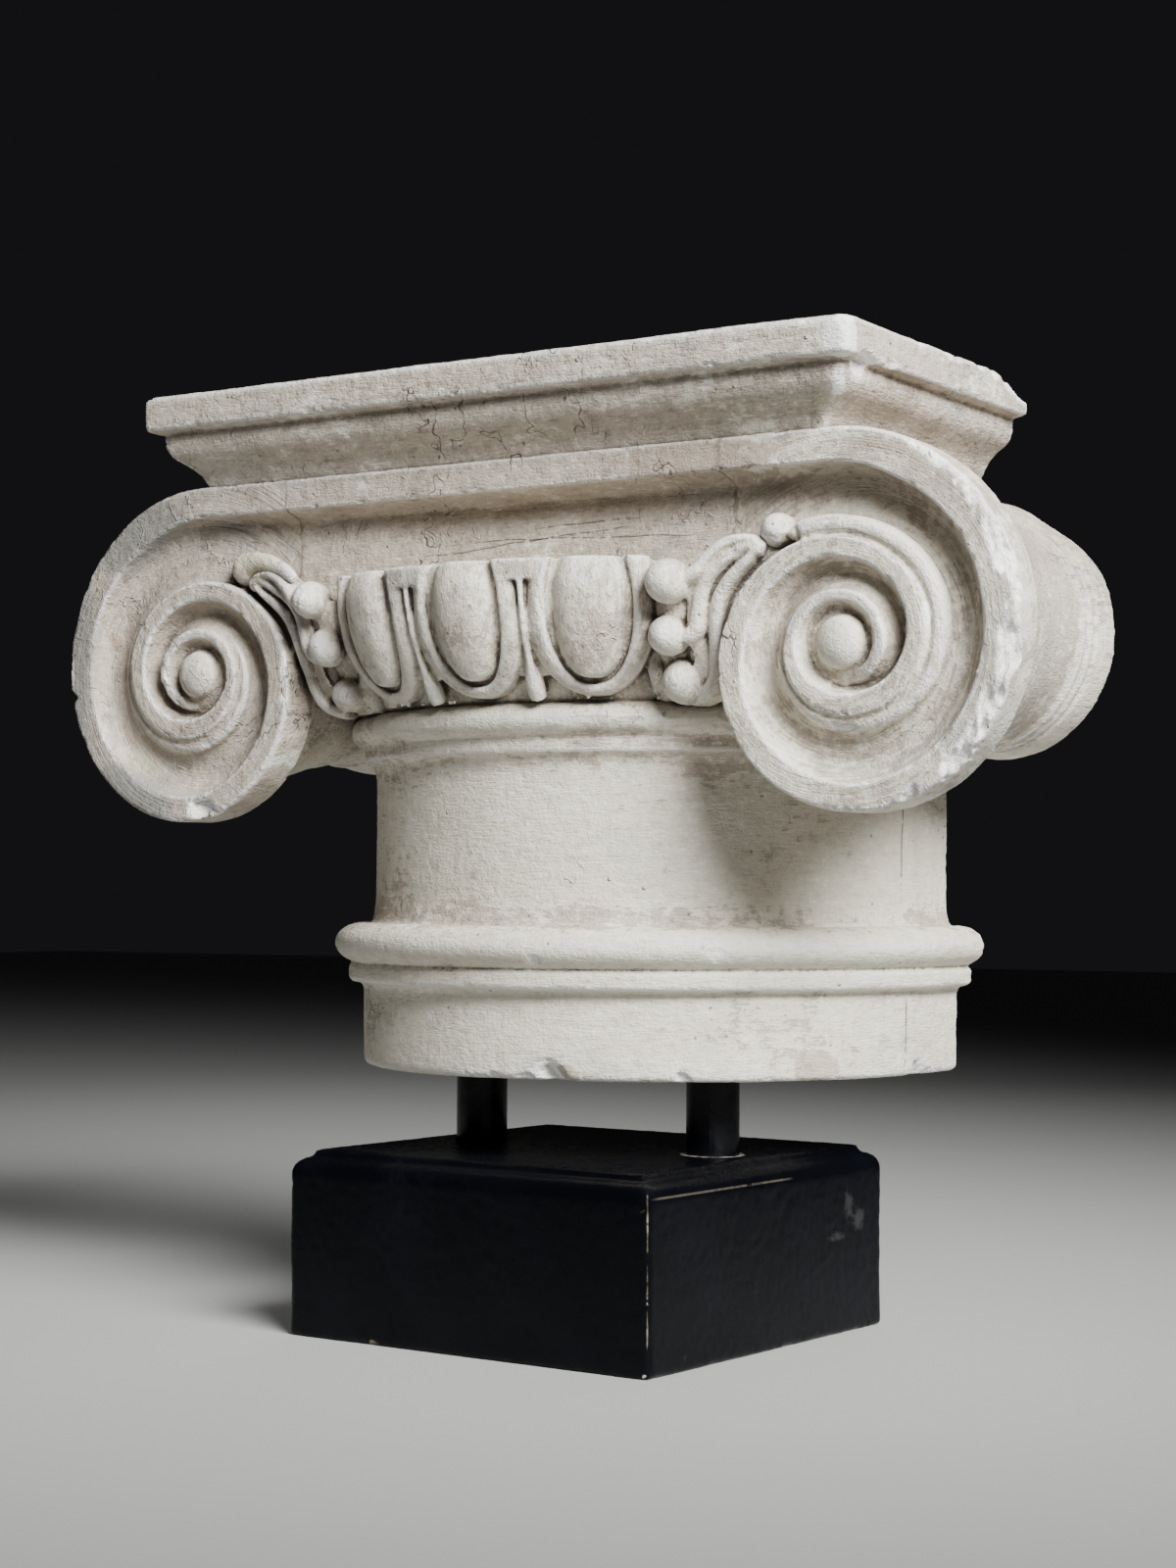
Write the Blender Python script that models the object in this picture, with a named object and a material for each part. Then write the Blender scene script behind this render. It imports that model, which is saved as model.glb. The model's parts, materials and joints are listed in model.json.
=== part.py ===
"""Half of an ionic capital, cast in plaster, held on two rods above a black wooden plinth.

The frame: the origin is the middle of the plinth's underside, the capital's face looks along
-Y and its flat cut back looks along +Y.  Sizes below are in millimetres and become metres in
mesh_object().
"""

from math import cos, log, pi, radians, sin, sqrt, exp

import bmesh
import bpy
from mathutils import Matrix, Vector

MM = 0.001
GAP = 0.3                       # clearance between pieces that touch
WELD = 2e-6                     # metres

# Plinth: a square block, turned a little against the capital.
PLINTH_TURN = radians(-3.4)
PLINTH_HALF = (103.0, 99.5)
PLINTH_BODY_HEIGHT = 77.0
PLINTH_HEIGHT = 87.0
PLINTH_OVOLO = 6.5
PLINTH_FILLET_INSET = 8.0

# Rods
ROD_RADIUS = 12.5
ROD_SPREAD = 68.4               # half the distance between the rods
ROD_BACK = 3.0                  # how far they stand behind the plinth's middle

# Capital: levels
UNDERSIDE = 123.8
DRUM_TOP = 165.0
FILLET_TOP = 174.0
TORUS_TOP = 193.5
NECK_TOP = 271.5
NECK_FILLET_TOP = 280.0
ASTRAGAL_TOP = 294.6
ECHINUS_TOP = 357.0
BAND_BOTTOM = 392.0
ARRIS = 405.5
ABACUS_TOP = 450.0

# Capital: the column below the echinus, half a round with straight sides to the back
COLUMN_Y = 65.0
DRUM_RADIUS = 147.8
FILLET_RADIUS = 155.2
TORUS_RADIUS = 162.2
NECK_RADIUS = 142.0
ASTRAGAL_RADIUS = 154.8
ECHINUS_BED_RADIUS = 166.0
EGG_ROW_RADIUS = 167.0
BED_DROP = 1.6                  # the bed's top lies this much below the shells'
EGG_DROP = 0.7
LINTEL_DROP = 1.1
LINTEL_BOTTOM = 347.0
LEAF_START = radians(26)
LEAF_RAMP = radians(7)
LEAF_SWELL = 24.0
NECK_BACK = 97.0
UPPER_BACK = 77.0

# Capital: abacus
ABACUS_HALF_WIDTH = 193.3
ABACUS_FRONT = -106.7
FASCIA_HEIGHT = 17.0

# Capital: scroll
FACE_Y = -86.0
RIM_BACK_Y = -63.0
EYE_X = 177.3
EYE_Z = 315.0
# Distance of the scroll's edge from the eye at each quarter turn, from the top and clockwise.
QUARTER_RADII = (92.0, 82.0, 72.0, 58.0, 45.5, 42.0, 32.0, 26.5, 23.5, 22.0, 19.0, 15.0)
SCROLL_END = 2.0 * pi * 2.3
RIM_WIDTH = 14.5
GROOVE_DEPTH = 16.0
EYE_RADIUS = 12.8
ROLL_POLE = (173.0, 354.0)      # the roll behind each scroll narrows towards this point

# Eggs, the shells round them and the darts between
EGG_COUNT = 3
EGG_PITCH = radians(20.4)
EGG_HALF_WIDTH = 17.6
EGG_CROWN = 17.0                # how far an egg bulges from its heart
EGG_WAIST = 334.0               # level where it is widest
EGG_HEAD = 46.0                 # the oval would close this far above the waist
EGG_BOTTOM = 302.0
OVAL_POWER = 2.3
SHELL_INSIDE = 20.2
SHELL_WIDTH = 7.8
SHELL_BOTTOM = 300.0
SHELL_FOOT = 4.0                # height of the lip under the egg

PLASTER = ("plaster", (0.62, 0.58, 0.52, 1.0), 0.75)
BLACK_PAINT = ("black_paint", (0.012, 0.012, 0.014, 1.0), 0.35)


def clear_scene():
    for item in list(bpy.data.objects):
        bpy.data.objects.remove(item, do_unlink=True)


def material(recipe):
    name, colour, roughness = recipe
    found = bpy.data.materials.get(name)
    if found:
        return found
    made = bpy.data.materials.new(name)
    made.use_nodes = True
    shader = made.node_tree.nodes["Principled BSDF"]
    shader.inputs["Base Color"].default_value = colour
    shader.inputs["Roughness"].default_value = roughness
    shader.inputs["Metallic"].default_value = 0.0
    return made


def mesh_object(name, bm, recipe=PLASTER):
    """Turn a bmesh in millimetres into an object in metres, faces outwards."""
    bmesh.ops.remove_doubles(bm, verts=bm.verts, dist=0.01)
    bmesh.ops.dissolve_degenerate(bm, edges=bm.edges, dist=0.005)
    bmesh.ops.recalc_face_normals(bm, faces=bm.faces)
    bmesh.ops.transform(bm, matrix=Matrix.Scale(MM, 4), verts=bm.verts)
    mesh = bpy.data.meshes.new(name)
    bm.to_mesh(mesh)
    bm.free()
    mesh.materials.append(material(recipe))
    made = bpy.data.objects.new(name, mesh)
    bpy.context.collection.objects.link(made)
    return made


def loft(bm, rings):
    """Skin closed rings of equal length and cap both ends."""
    rows = [[bm.verts.new(point) for point in ring] for ring in rings]
    count = len(rows[0])
    for lower, upper in zip(rows, rows[1:]):
        for i in range(count):
            j = (i + 1) % count
            bm.faces.new((lower[i], lower[j], upper[j], upper[i]))
    bm.faces.new(rows[0][::-1])
    bm.faces.new(rows[-1])


def weld(mesh):
    """Merge the points that a Boolean leaves a few microns apart."""
    bm = bmesh.new()
    bm.from_mesh(mesh)
    bmesh.ops.remove_doubles(bm, verts=bm.verts, dist=WELD)
    bmesh.ops.dissolve_degenerate(bm, edges=bm.edges, dist=WELD)
    bmesh.ops.triangulate(bm, faces=bm.faces)
    bm.to_mesh(mesh)
    bm.free()


def flatten(mesh):
    """Dissolve the lines that the Booleans leave across flat faces."""
    bm = bmesh.new()
    bm.from_mesh(mesh)
    bmesh.ops.dissolve_limit(bm, angle_limit=radians(1.0), verts=bm.verts, edges=bm.edges)
    bmesh.ops.triangulate(bm, faces=bm.faces)
    bm.to_mesh(mesh)
    bm.free()


def combine(base, others, operation="UNION"):
    """Boolean the other objects into the base, one after another, and remove them."""
    for other in others:
        change = base.modifiers.new("join", "BOOLEAN")
        change.operation = operation
        change.solver = "EXACT"
        change.object = other
        bpy.context.view_layer.update()
        evaluated = base.evaluated_get(bpy.context.evaluated_depsgraph_get())
        result = bpy.data.meshes.new_from_object(evaluated)
        base.modifiers.remove(change)
        weld(result)
        base.data = result
        bpy.data.objects.remove(other, do_unlink=True)
    return base


def mirrored(source, name):
    """A copy of an object on the other side of x = 0."""
    bm = bmesh.new()
    bm.from_mesh(source.data)
    bmesh.ops.scale(bm, vec=(-1.0 / MM, 1.0 / MM, 1.0 / MM), verts=bm.verts)
    return mesh_object(name, bm)


def box(name, low, high):
    bm = bmesh.new()
    corners = [(low[0], low[1]), (high[0], low[1]), (high[0], high[1]), (low[0], high[1])]
    loft(bm, [[Vector((x, y, z)) for x, y in corners] for z in (low[2], high[2])])
    return mesh_object(name, bm)


def ball(name, centre, radii, segments=10, rings=6):
    """An ellipsoid along the axes."""
    bm = bmesh.new()
    bmesh.ops.create_uvsphere(bm, u_segments=segments, v_segments=rings, radius=1.0)
    bmesh.ops.scale(bm, vec=radii, verts=bm.verts)
    bmesh.ops.translate(bm, vec=centre, verts=bm.verts)
    return mesh_object(name, bm)


def smooth_path(points, steps):
    """Points on a smooth curve through the given points."""
    ends = [points[0] * 2 - points[1]] + points + [points[-1] * 2 - points[-2]]
    found = []
    for before, start, end, after in zip(ends, ends[1:], ends[2:], ends[3:]):
        for step in range(steps):
            t = step / steps
            found.append(0.5 * (2 * start + (end - before) * t
                                + (2 * before - 5 * start + 4 * end - after) * t * t
                                + (3 * start - before - 3 * end + after) * t ** 3))
    return found + [points[-1]]


def rod_along(name, points, radii, sides=8):
    """A round cord of changing radius along the points, with flat ends."""
    bm = bmesh.new()
    rings = []
    for i, point in enumerate(points):
        along = (points[min(i + 1, len(points) - 1)] - points[max(i - 1, 0)]).normalized()
        across = along.cross(Vector((0, 1, 0))).normalized()
        out = along.cross(across).normalized()
        ring = [point + radii[i] * (cos(2 * pi * k / sides) * across + sin(2 * pi * k / sides) * out)
                for k in range(sides)]
        rings.append(ring)
    loft(bm, rings)
    return mesh_object(name, bm)


# ---------------------------------------------------------------- abacus

def abacus_profile():
    """Inset from the fascia's face and level, from the top down to the arris."""
    fascia_bottom = ABACUS_TOP - FASCIA_HEIGHT
    profile = [(1.2, ABACUS_TOP), (0.0, ABACUS_TOP - 1.5), (0.0, fascia_bottom), (6.8, fascia_bottom - 1.8)]
    for step in range(5):                      # the round of the cyma
        turn = pi / 2 * step / 4
        profile.append((6.8 + 9.0 * (1 - cos(turn)), fascia_bottom - 4.0 - 10.5 * sin(turn)))
    for step in range(1, 4):                   # its hollow
        turn = pi / 2 * step / 3
        profile.append((15.8 + 5.8 * sin(turn), fascia_bottom - 14.5 - 9.0 * (1 - cos(turn))))
    profile.append((23.6, fascia_bottom - 24.5))
    profile.append((23.6, ARRIS - 4.0))
    return profile


def make_abacus():
    bm = bmesh.new()
    rings = []
    for inset, level in reversed(abacus_profile()):
        side = ABACUS_HALF_WIDTH - inset
        front = ABACUS_FRONT + inset
        back = UPPER_BACK + 10.0
        rings.append([Vector((-side, front, level)), Vector((side, front, level)),
                      Vector((side, back, level)), Vector((-side, back, level))])
    loft(bm, rings)
    return mesh_object("abacus", bm)


# ---------------------------------------------------------------- scroll

def edge_radius(turn):
    """Radius of the scroll's outer edge, smooth through the quarter radii."""
    quarter = turn / (pi / 2)
    first = min(max(int(quarter), 0), len(QUARTER_RADII) - 2)
    t = quarter - first
    picks = [QUARTER_RADII[min(max(first + k, 0), len(QUARTER_RADII) - 1)] for k in (-1, 0, 1, 2)]
    a, b, c, d = [log(value) for value in picks]
    return exp(0.5 * (2 * b + (c - a) * t + (2 * a - 5 * b + 4 * c - d) * t * t
                      + (3 * b - a - 3 * c + d) * t ** 3))


def ridge_width(turn):
    return max(RIM_WIDTH * exp(-0.105 * turn), 4.5)


def scroll_point(turn, radius, y):
    """A point of the right scroll; turn runs clockwise from the top."""
    return Vector((EYE_X + radius * sin(turn), y, EYE_Z + radius * cos(turn)))


SCROLL_CLOSE = radians(330)     # where the first turn passes under the band


def scroll_edge(steps=40):
    """The first turn's outer edge, from the top clockwise."""
    turns = [SCROLL_CLOSE * step / steps for step in range(steps + 1)]
    return [scroll_point(turn, edge_radius(turn), 0.0) for turn in turns]


def make_face_slab():
    """Both scrolls and the band between them, as one slab as thick as the rim."""
    right = scroll_edge()
    right.append(Vector((EYE_X - 62.0, 0.0, ECHINUS_TOP - 12.0)))
    left = [Vector((-p.x, 0.0, p.z)) for p in reversed(right)]
    bm = bmesh.new()
    loft(bm, [[Vector((p.x, y, p.z)) for p in right + left] for y in (FACE_Y, RIM_BACK_Y)])
    return mesh_object("face_slab", bm)


# Depth and width of the roll behind a scroll, against the scroll's own width.
ROLL_STATIONS = ((RIM_BACK_Y - 2.0, 0.95), (-49.0, 0.885), (-29.0, 0.808), (-5.0, 0.750),
                 (21.0, 0.712), (46.0, 0.697), (47.0, 0.716), (50.0, 0.716), (51.0, 0.701),
                 (54.0, 0.716), (57.0, 0.716), (58.0, 0.702), (63.0, 0.720),
                 (UPPER_BACK + 8.0, 0.735))


def make_roll():
    """The roll behind the right scroll: its section narrows, then swells into a belt."""
    outline = scroll_edge(24)
    outline.append(Vector((EYE_X - 36.0, 0.0, ARRIS + 2.0)))
    bm = bmesh.new()
    rings = []
    for y, scale in ROLL_STATIONS:
        rings.append([Vector((ROLL_POLE[0] + scale * (p.x - ROLL_POLE[0]), y,
                              ROLL_POLE[1] + scale * (p.z - ROLL_POLE[1]))) for p in outline])
    loft(bm, rings)
    return mesh_object("roll", bm)


def groove_section(outer, inner, depth, flatness):
    """Section of the channel between two edges, as points and depths below the face."""
    steps = 6
    section = [(outer, -6.0), (inner, -6.0)]
    for step in range(steps + 1):
        u = 1.0 - step / steps
        hollow = sin(pi * u) ** 0.75 if 0 < u < 1 else 0.0
        shelf = min(1.0, u / 0.3) ** 0.6
        shelf_depth = 1.0 - 0.25 * u
        fall = (1 - flatness) * hollow + flatness * shelf * shelf_depth
        section.append((outer + (inner - outer) * u, depth * fall))
    return section


def channel_floor(x):
    """Lowest level of the straight channel between the scrolls, at x."""
    if x <= EYE_X - 57.0:
        return ECHINUS_TOP - 22.0
    turn = 2 * pi
    while turn > pi and EYE_X + edge_radius(turn) * sin(turn) > x:
        turn -= radians(1)
    return EYE_Z + edge_radius(turn) * cos(turn)


def half_channel():
    """Rings of the channel cutter, from the middle of the face to the right eye."""
    rings = []
    straight = 10
    for step in range(straight):
        x = EYE_X * step / straight
        near_scroll = max(0.0, (x - 60.0) / (EYE_X - 60.0))
        section = groove_section(BAND_BOTTOM, channel_floor(x), GROOVE_DEPTH, 1.0 - near_scroll)
        rings.append([Vector((x, FACE_Y + fall, z)) for z, fall in section])
    turns = 50
    for step in range(turns + 1):
        turn = SCROLL_END * step / turns
        outer = edge_radius(turn) - ridge_width(turn)
        if step == 0:
            outer = BAND_BOTTOM - EYE_Z
        inner = min(edge_radius(turn + 2 * pi), outer - 1.2)
        depth = GROOVE_DEPTH * (edge_radius(turn) / edge_radius(0.0)) ** 0.65
        section = groove_section(outer, inner, depth, 0.0)
        rings.append([scroll_point(turn, radius, FACE_Y + fall) for radius, fall in section])
    return rings


def make_channel_cutter():
    right = half_channel()
    left = [[Vector((-p.x, p.y, p.z)) for p in ring] for ring in reversed(right[1:])]
    bm = bmesh.new()
    loft(bm, left + right)
    return mesh_object("channel_cutter", bm)


def make_scroll_body():
    body = combine(make_face_slab(), [make_channel_cutter()], "DIFFERENCE")
    right = make_roll()
    left = mirrored(right, "roll_left")
    reach = EYE_X - 11.0
    cushion = box("cushion", (-reach, RIM_BACK_Y - 3.0, ECHINUS_TOP - 11.0),
                  (reach, UPPER_BACK + 6.0, ARRIS + 1.0))
    return combine(body, [right, left, cushion])


def make_eye(side):
    centre = Vector((side * EYE_X, FACE_Y + 8.0, EYE_Z))
    return ball("eye", centre, (EYE_RADIUS, 10.0, EYE_RADIUS), segments=12, rings=6)


def make_bead(side):
    """The bead that lies against the second turn, thick at its start."""
    start = radians(338)
    steps = 20
    points = []
    radii = []
    for step in range(steps + 1):
        t = step / steps
        turn = start + radians(265) * t
        width = 5.6 - 3.6 * t
        point = scroll_point(turn, edge_radius(turn) + width * 0.75, FACE_Y + 4.0 + 3.0 * t)
        points.append(Vector((side * point.x, point.y, point.z)))
        radii.append(width)
    return rod_along("bead", points, radii, 6)


def make_knob(side):
    centre = Vector((side * 147.5, FACE_Y + 6.5, 366.0))
    return ball("knob", centre, (9.2, 12.0, 9.6), segments=10, rings=6)


# ---------------------------------------------------------------- column and echinus

def on_column(angle, radius, level):
    return Vector((radius * sin(angle), COLUMN_Y - radius * cos(angle), level))


def half_round(radius_at, level, back, steps=24):
    """Plan of the column at one level: an arc at the front, straight sides, a flat back."""
    arc = []
    for step in range(steps + 1):
        angle = -pi / 2 + pi * step / steps
        arc.append(on_column(angle, radius_at(angle), level))
    return [Vector((arc[0].x, back, level))] + arc + [Vector((arc[-1].x, back, level))]


def neck_profile():
    profile = [(DRUM_RADIUS - 1.5, UNDERSIDE), (DRUM_RADIUS, UNDERSIDE + 1.5),
               (DRUM_RADIUS, DRUM_TOP - 1.0), (FILLET_RADIUS, DRUM_TOP),
               (FILLET_RADIUS, FILLET_TOP - 0.5)]
    middle = (FILLET_TOP + TORUS_TOP) / 2
    half = (TORUS_TOP - FILLET_TOP) / 2
    bulge = 13.5
    for step in range(8):                      # the torus
        angle = -radians(78) + radians(168) * step / 7
        profile.append((TORUS_RADIUS - bulge + bulge * cos(angle), middle + half * sin(angle)))
    for step in range(4):                      # the hollow above it
        t = step / 3
        profile.append((NECK_RADIUS + 3.0 * (1 - t) ** 2, TORUS_TOP + 1.0 + 10.0 * t))
    profile += [(NECK_RADIUS, NECK_TOP - 3.0), (NECK_RADIUS + 2.0, NECK_TOP),
                (NECK_RADIUS + 6.0, NECK_TOP + 3.0), (NECK_RADIUS + 6.0, NECK_FILLET_TOP - 0.5)]
    middle = (NECK_FILLET_TOP + ASTRAGAL_TOP) / 2
    half = (ASTRAGAL_TOP - NECK_FILLET_TOP) / 2
    for step in range(7):                      # the astragal
        angle = -pi / 2 + pi * step / 6
        profile.append((ASTRAGAL_RADIUS - half + half * cos(angle), middle + half * sin(angle)))
    return profile


def make_neck():
    bm = bmesh.new()
    rings = []
    for radius, level in neck_profile():
        rings.append(half_round(lambda angle: radius, level, NECK_BACK))
    loft(bm, rings)
    return mesh_object("neck", bm)


def echinus_radius(level, angle):
    """Radius of the bed behind the eggs; it swells into a leaf behind each spray."""
    t = max((level - ASTRAGAL_TOP) / (ECHINUS_TOP - ASTRAGAL_TOP), 0.0)
    bed = ASTRAGAL_RADIUS - 8.0 + (ECHINUS_BED_RADIUS - ASTRAGAL_RADIUS + 8.0) * sqrt(t)
    leaf = min(max((abs(angle) - LEAF_START) / LEAF_RAMP, 0.0), 1.0)
    return bed + LEAF_SWELL * leaf * sqrt(t)


def make_echinus_bed():
    bm = bmesh.new()
    low = ASTRAGAL_TOP - 4.0
    high = ECHINUS_TOP - BED_DROP
    levels = [low + (high - low) * step / 7 for step in range(8)]
    rings = []
    for level in levels:
        rings.append(half_round(lambda angle: echinus_radius(level, angle), level, UPPER_BACK + 4.0))
    loft(bm, rings)
    return mesh_object("echinus_bed", bm)


def face_turn(angle):
    """Turns -Y to the direction that leaves the column at this angle."""
    return Matrix.Rotation(angle, 3, "Z")


def egg_front(level):
    """How far the egg row bulges from the column's axis at one level."""
    t = (ECHINUS_TOP - level) / (ECHINUS_TOP - ASTRAGAL_TOP)
    return EGG_ROW_RADIUS + 15.0 * sqrt(max(0.0, 1.0 - t ** 2.6)) - 14.0 * t ** 2


def oval(level, half_width, bottom):
    """Half width of an egg's or a shell's outline at one level: widest at EGG_WAIST."""
    reach = EGG_HEAD if level > EGG_WAIST else EGG_WAIST - bottom
    share = min(abs(level - EGG_WAIST) / reach, 1.0)
    return half_width * (1.0 - share ** OVAL_POWER) ** (1.0 / OVAL_POWER)


def make_egg(angle):
    bm = bmesh.new()
    sides = 12
    rings = []
    levels = 9
    top = ECHINUS_TOP - EGG_DROP
    for step in range(levels + 1):
        level = top + (EGG_BOTTOM - top) * sin(pi / 2 * step / levels)
        swell = max(oval(level, 1.0, EGG_BOTTOM), 0.16)
        heart = egg_front(level) - EGG_CROWN * swell
        ring = []
        for k in range(sides):
            around = 2 * pi * k / sides
            bulge = Vector((EGG_HALF_WIDTH * sin(around), -EGG_CROWN * cos(around), 0.0)) * swell
            ring.append(on_column(angle, heart, level) + face_turn(angle) @ bulge)
        rings.append(ring)
    loft(bm, rings)
    return mesh_object("egg", bm)


def make_shell(angle):
    """The raised lip round one egg: a U of square section, open at the top."""
    rings = []
    steps = 9
    for step in range(-steps, steps + 1):
        share = abs(step) / steps
        side = 1 if step > 0 else -1
        inner_level = SHELL_BOTTOM + (ECHINUS_TOP - SHELL_BOTTOM) * (1 - cos(pi / 2 * share))
        outer_level = inner_level - SHELL_FOOT * (1 - share) ** 2
        inner = side * oval(inner_level, SHELL_INSIDE, SHELL_BOTTOM)
        outer = side * oval(outer_level, SHELL_INSIDE + SHELL_WIDTH, SHELL_BOTTOM - SHELL_FOOT)
        front = egg_front(inner_level) - 3.0
        ring = []
        for across, level, fall in ((inner, inner_level, 22.0), (inner, inner_level, 2.0),
                                    ((inner + outer) / 2, (inner_level + outer_level) / 2, 0.0),
                                    (outer, outer_level, 3.0), (outer, outer_level, 22.0)):
            ring.append(on_column(angle + across / EGG_ROW_RADIUS, front - fall, level))
        rings.append(ring)
    bm = bmesh.new()
    loft(bm, rings)
    return mesh_object("shell", bm)


def make_dart(angle):
    """The tongue between two shells and the bud under it."""
    points = [on_column(angle, 172.0, 352.0), on_column(angle, 172.0, 330.0),
              on_column(angle, 164.0, 312.0), on_column(angle, 153.0, 298.0)]
    return rod_along("dart", points, [2.0, 2.4, 5.0, 6.5], 6)


def make_lintel(angle):
    """The bridge that joins two shells above the dart."""
    bm = bmesh.new()
    rings = []
    for level in (LINTEL_BOTTOM, ECHINUS_TOP - LINTEL_DROP):
        front = egg_front(level) - 3.5
        ring = [on_column(angle + across / EGG_ROW_RADIUS, front - fall, level)
                for across, fall in ((-10.0, 0.0), (10.0, 0.0), (10.0, 20.0), (-10.0, 20.0))]
        rings.append(ring)
    loft(bm, rings)
    return mesh_object("lintel", bm)


# Three curled lobes in each corner: the crest of the stalk from the root beside the knob to
# its ball, and the ball's centre and radius, as seen on the right.
SPRAY = ((((138.0, -88.0, 360.0), (124.0, -90.0, 359.5), (114.0, -92.0, 353.5), (106.0, -94.0, 345.5)),
          (99.5, -94.3, 346.0, 9.4)),
         (((138.0, -88.0, 357.0), (121.0, -88.0, 351.5), (110.0, -87.5, 338.5), (104.0, -86.5, 320.0)),
          (94.5, -86.0, 322.8, 9.4)),
         (((139.0, -87.0, 353.5), (124.0, -85.0, 345.5), (114.0, -80.0, 325.0), (107.0, -72.0, 298.0)),
          (92.3, -69.8, 303.2, 9.4)))
STALK_RADIUS = 5.6


def make_spray(side):
    """Three balls and the curled stalks that carry them, in one corner."""
    found = []
    for stalk, (x, y, z, radius) in SPRAY:
        found.append(ball("spray_ball", Vector((side * x, y, z)), (radius, radius, radius)))
        crest = smooth_path([Vector((side * px, py + STALK_RADIUS, pz)) for px, py, pz in stalk], 3)
        found.append(rod_along("stalk", crest, [STALK_RADIUS] * len(crest), 6))
    return found


# ---------------------------------------------------------------- wear

def make_chips():
    """Bites for the larger losses: back corner, left rim, foot of the drum."""
    bites = (((ABACUS_HALF_WIDTH + 5.0, UPPER_BACK + 3.0, ABACUS_TOP + 4.0), (12.0, 14.0, 12.0)),
             ((-264.5, FACE_Y, 299.0), (5.5, 14.0, 9.0)),
             ((-58.0, COLUMN_Y - DRUM_RADIUS * 0.925, UNDERSIDE - 1.0), (14.0, 6.0, 6.0)),
             ((DRUM_RADIUS, COLUMN_Y + 22.0, UNDERSIDE - 1.0), (6.0, 14.0, 8.0)))
    return [ball("bite", Vector(centre), radii, segments=10, rings=6) for centre, radii in bites]


# ---------------------------------------------------------------- the pieces

def make_capital():
    capital = make_scroll_body()
    capital = combine(capital, [make_abacus(), make_echinus_bed()])
    back = box("back_cut", (-300.0, UPPER_BACK, 0.0), (300.0, UPPER_BACK + 60.0, 500.0))
    capital = combine(capital, [back], "DIFFERENCE")
    capital = combine(capital, [make_neck()])
    added = []
    for side in (1, -1):
        added += [make_eye(side), make_bead(side), make_knob(side)] + make_spray(side)
    middle = (EGG_COUNT - 1) / 2
    for count in range(EGG_COUNT):
        angle = (count - middle) * EGG_PITCH
        added += [make_shell(angle), make_egg(angle)]
    for side in (1, -1):
        added += [make_dart(side * EGG_PITCH / 2), make_lintel(side * EGG_PITCH / 2)]
    capital = combine(capital, added)
    capital = combine(capital, make_chips(), "DIFFERENCE")
    flatten(capital.data)
    capital.name = "capital"
    return capital


def on_plinth(x, y, z=0.0):
    return Matrix.Rotation(PLINTH_TURN, 3, "Z") @ Vector((x, y, z))


def make_plinth():
    profile = [(0.0, 0.0), (0.0, PLINTH_BODY_HEIGHT)]
    for step in range(1, 6):
        turn = pi / 2 * step / 5
        profile.append((PLINTH_OVOLO * (1 - cos(turn)), PLINTH_BODY_HEIGHT + PLINTH_OVOLO * sin(turn)))
    quirk = PLINTH_BODY_HEIGHT + PLINTH_OVOLO + 1.0
    profile += [(PLINTH_FILLET_INSET - 0.8, quirk), (PLINTH_FILLET_INSET, quirk),
                (PLINTH_FILLET_INSET, PLINTH_HEIGHT)]
    bm = bmesh.new()
    rings = []
    for inset, level in profile:
        x = PLINTH_HALF[0] - inset
        y = PLINTH_HALF[1] - inset
        rings.append([on_plinth(-x, -y, level), on_plinth(x, -y, level),
                      on_plinth(x, y, level), on_plinth(-x, y, level)])
    loft(bm, rings)
    return mesh_object("plinth", bm, BLACK_PAINT)


def make_rod(name, side):
    foot = on_plinth(side * ROD_SPREAD, ROD_BACK)
    bm = bmesh.new()
    rings = []
    for level in (PLINTH_HEIGHT + GAP, UNDERSIDE - GAP):
        rings.append([Vector((foot.x + ROD_RADIUS * cos(2 * pi * k / 32),
                              foot.y + ROD_RADIUS * sin(2 * pi * k / 32), level)) for k in range(32)])
    loft(bm, rings)
    return mesh_object(name, bm, BLACK_PAINT)


clear_scene()
make_capital()
make_rod("rod_left", -1)
make_rod("rod_right", 1)
make_plinth()
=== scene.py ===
"""Half of an ionic capital, cast in plaster, painted and worn, on two rods and a black plinth.

The carving is built from profiles and spirals in millimetres, cast into one skin, worn by a
geometry nodes tree, and painted with procedural materials.
"""

import json
from math import cos, pi, radians, sin

import bmesh
import bpy
import numpy as np
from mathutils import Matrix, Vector

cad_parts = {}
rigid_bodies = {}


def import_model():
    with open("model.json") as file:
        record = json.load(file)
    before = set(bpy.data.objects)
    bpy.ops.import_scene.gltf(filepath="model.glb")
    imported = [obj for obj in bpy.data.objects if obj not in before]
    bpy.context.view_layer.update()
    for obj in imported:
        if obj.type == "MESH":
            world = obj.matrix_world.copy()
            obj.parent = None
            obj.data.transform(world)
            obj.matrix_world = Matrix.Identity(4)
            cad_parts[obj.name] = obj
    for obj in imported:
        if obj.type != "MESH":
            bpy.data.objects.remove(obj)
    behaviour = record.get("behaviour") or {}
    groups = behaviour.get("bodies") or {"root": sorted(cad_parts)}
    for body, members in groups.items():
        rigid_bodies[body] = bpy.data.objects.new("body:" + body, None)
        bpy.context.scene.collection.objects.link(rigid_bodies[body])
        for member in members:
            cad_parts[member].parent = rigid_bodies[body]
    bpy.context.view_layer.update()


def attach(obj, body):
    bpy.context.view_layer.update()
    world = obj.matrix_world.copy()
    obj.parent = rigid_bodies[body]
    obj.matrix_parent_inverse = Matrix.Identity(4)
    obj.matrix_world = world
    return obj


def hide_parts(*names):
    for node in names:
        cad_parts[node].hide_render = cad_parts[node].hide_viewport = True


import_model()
MM = 0.001

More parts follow.
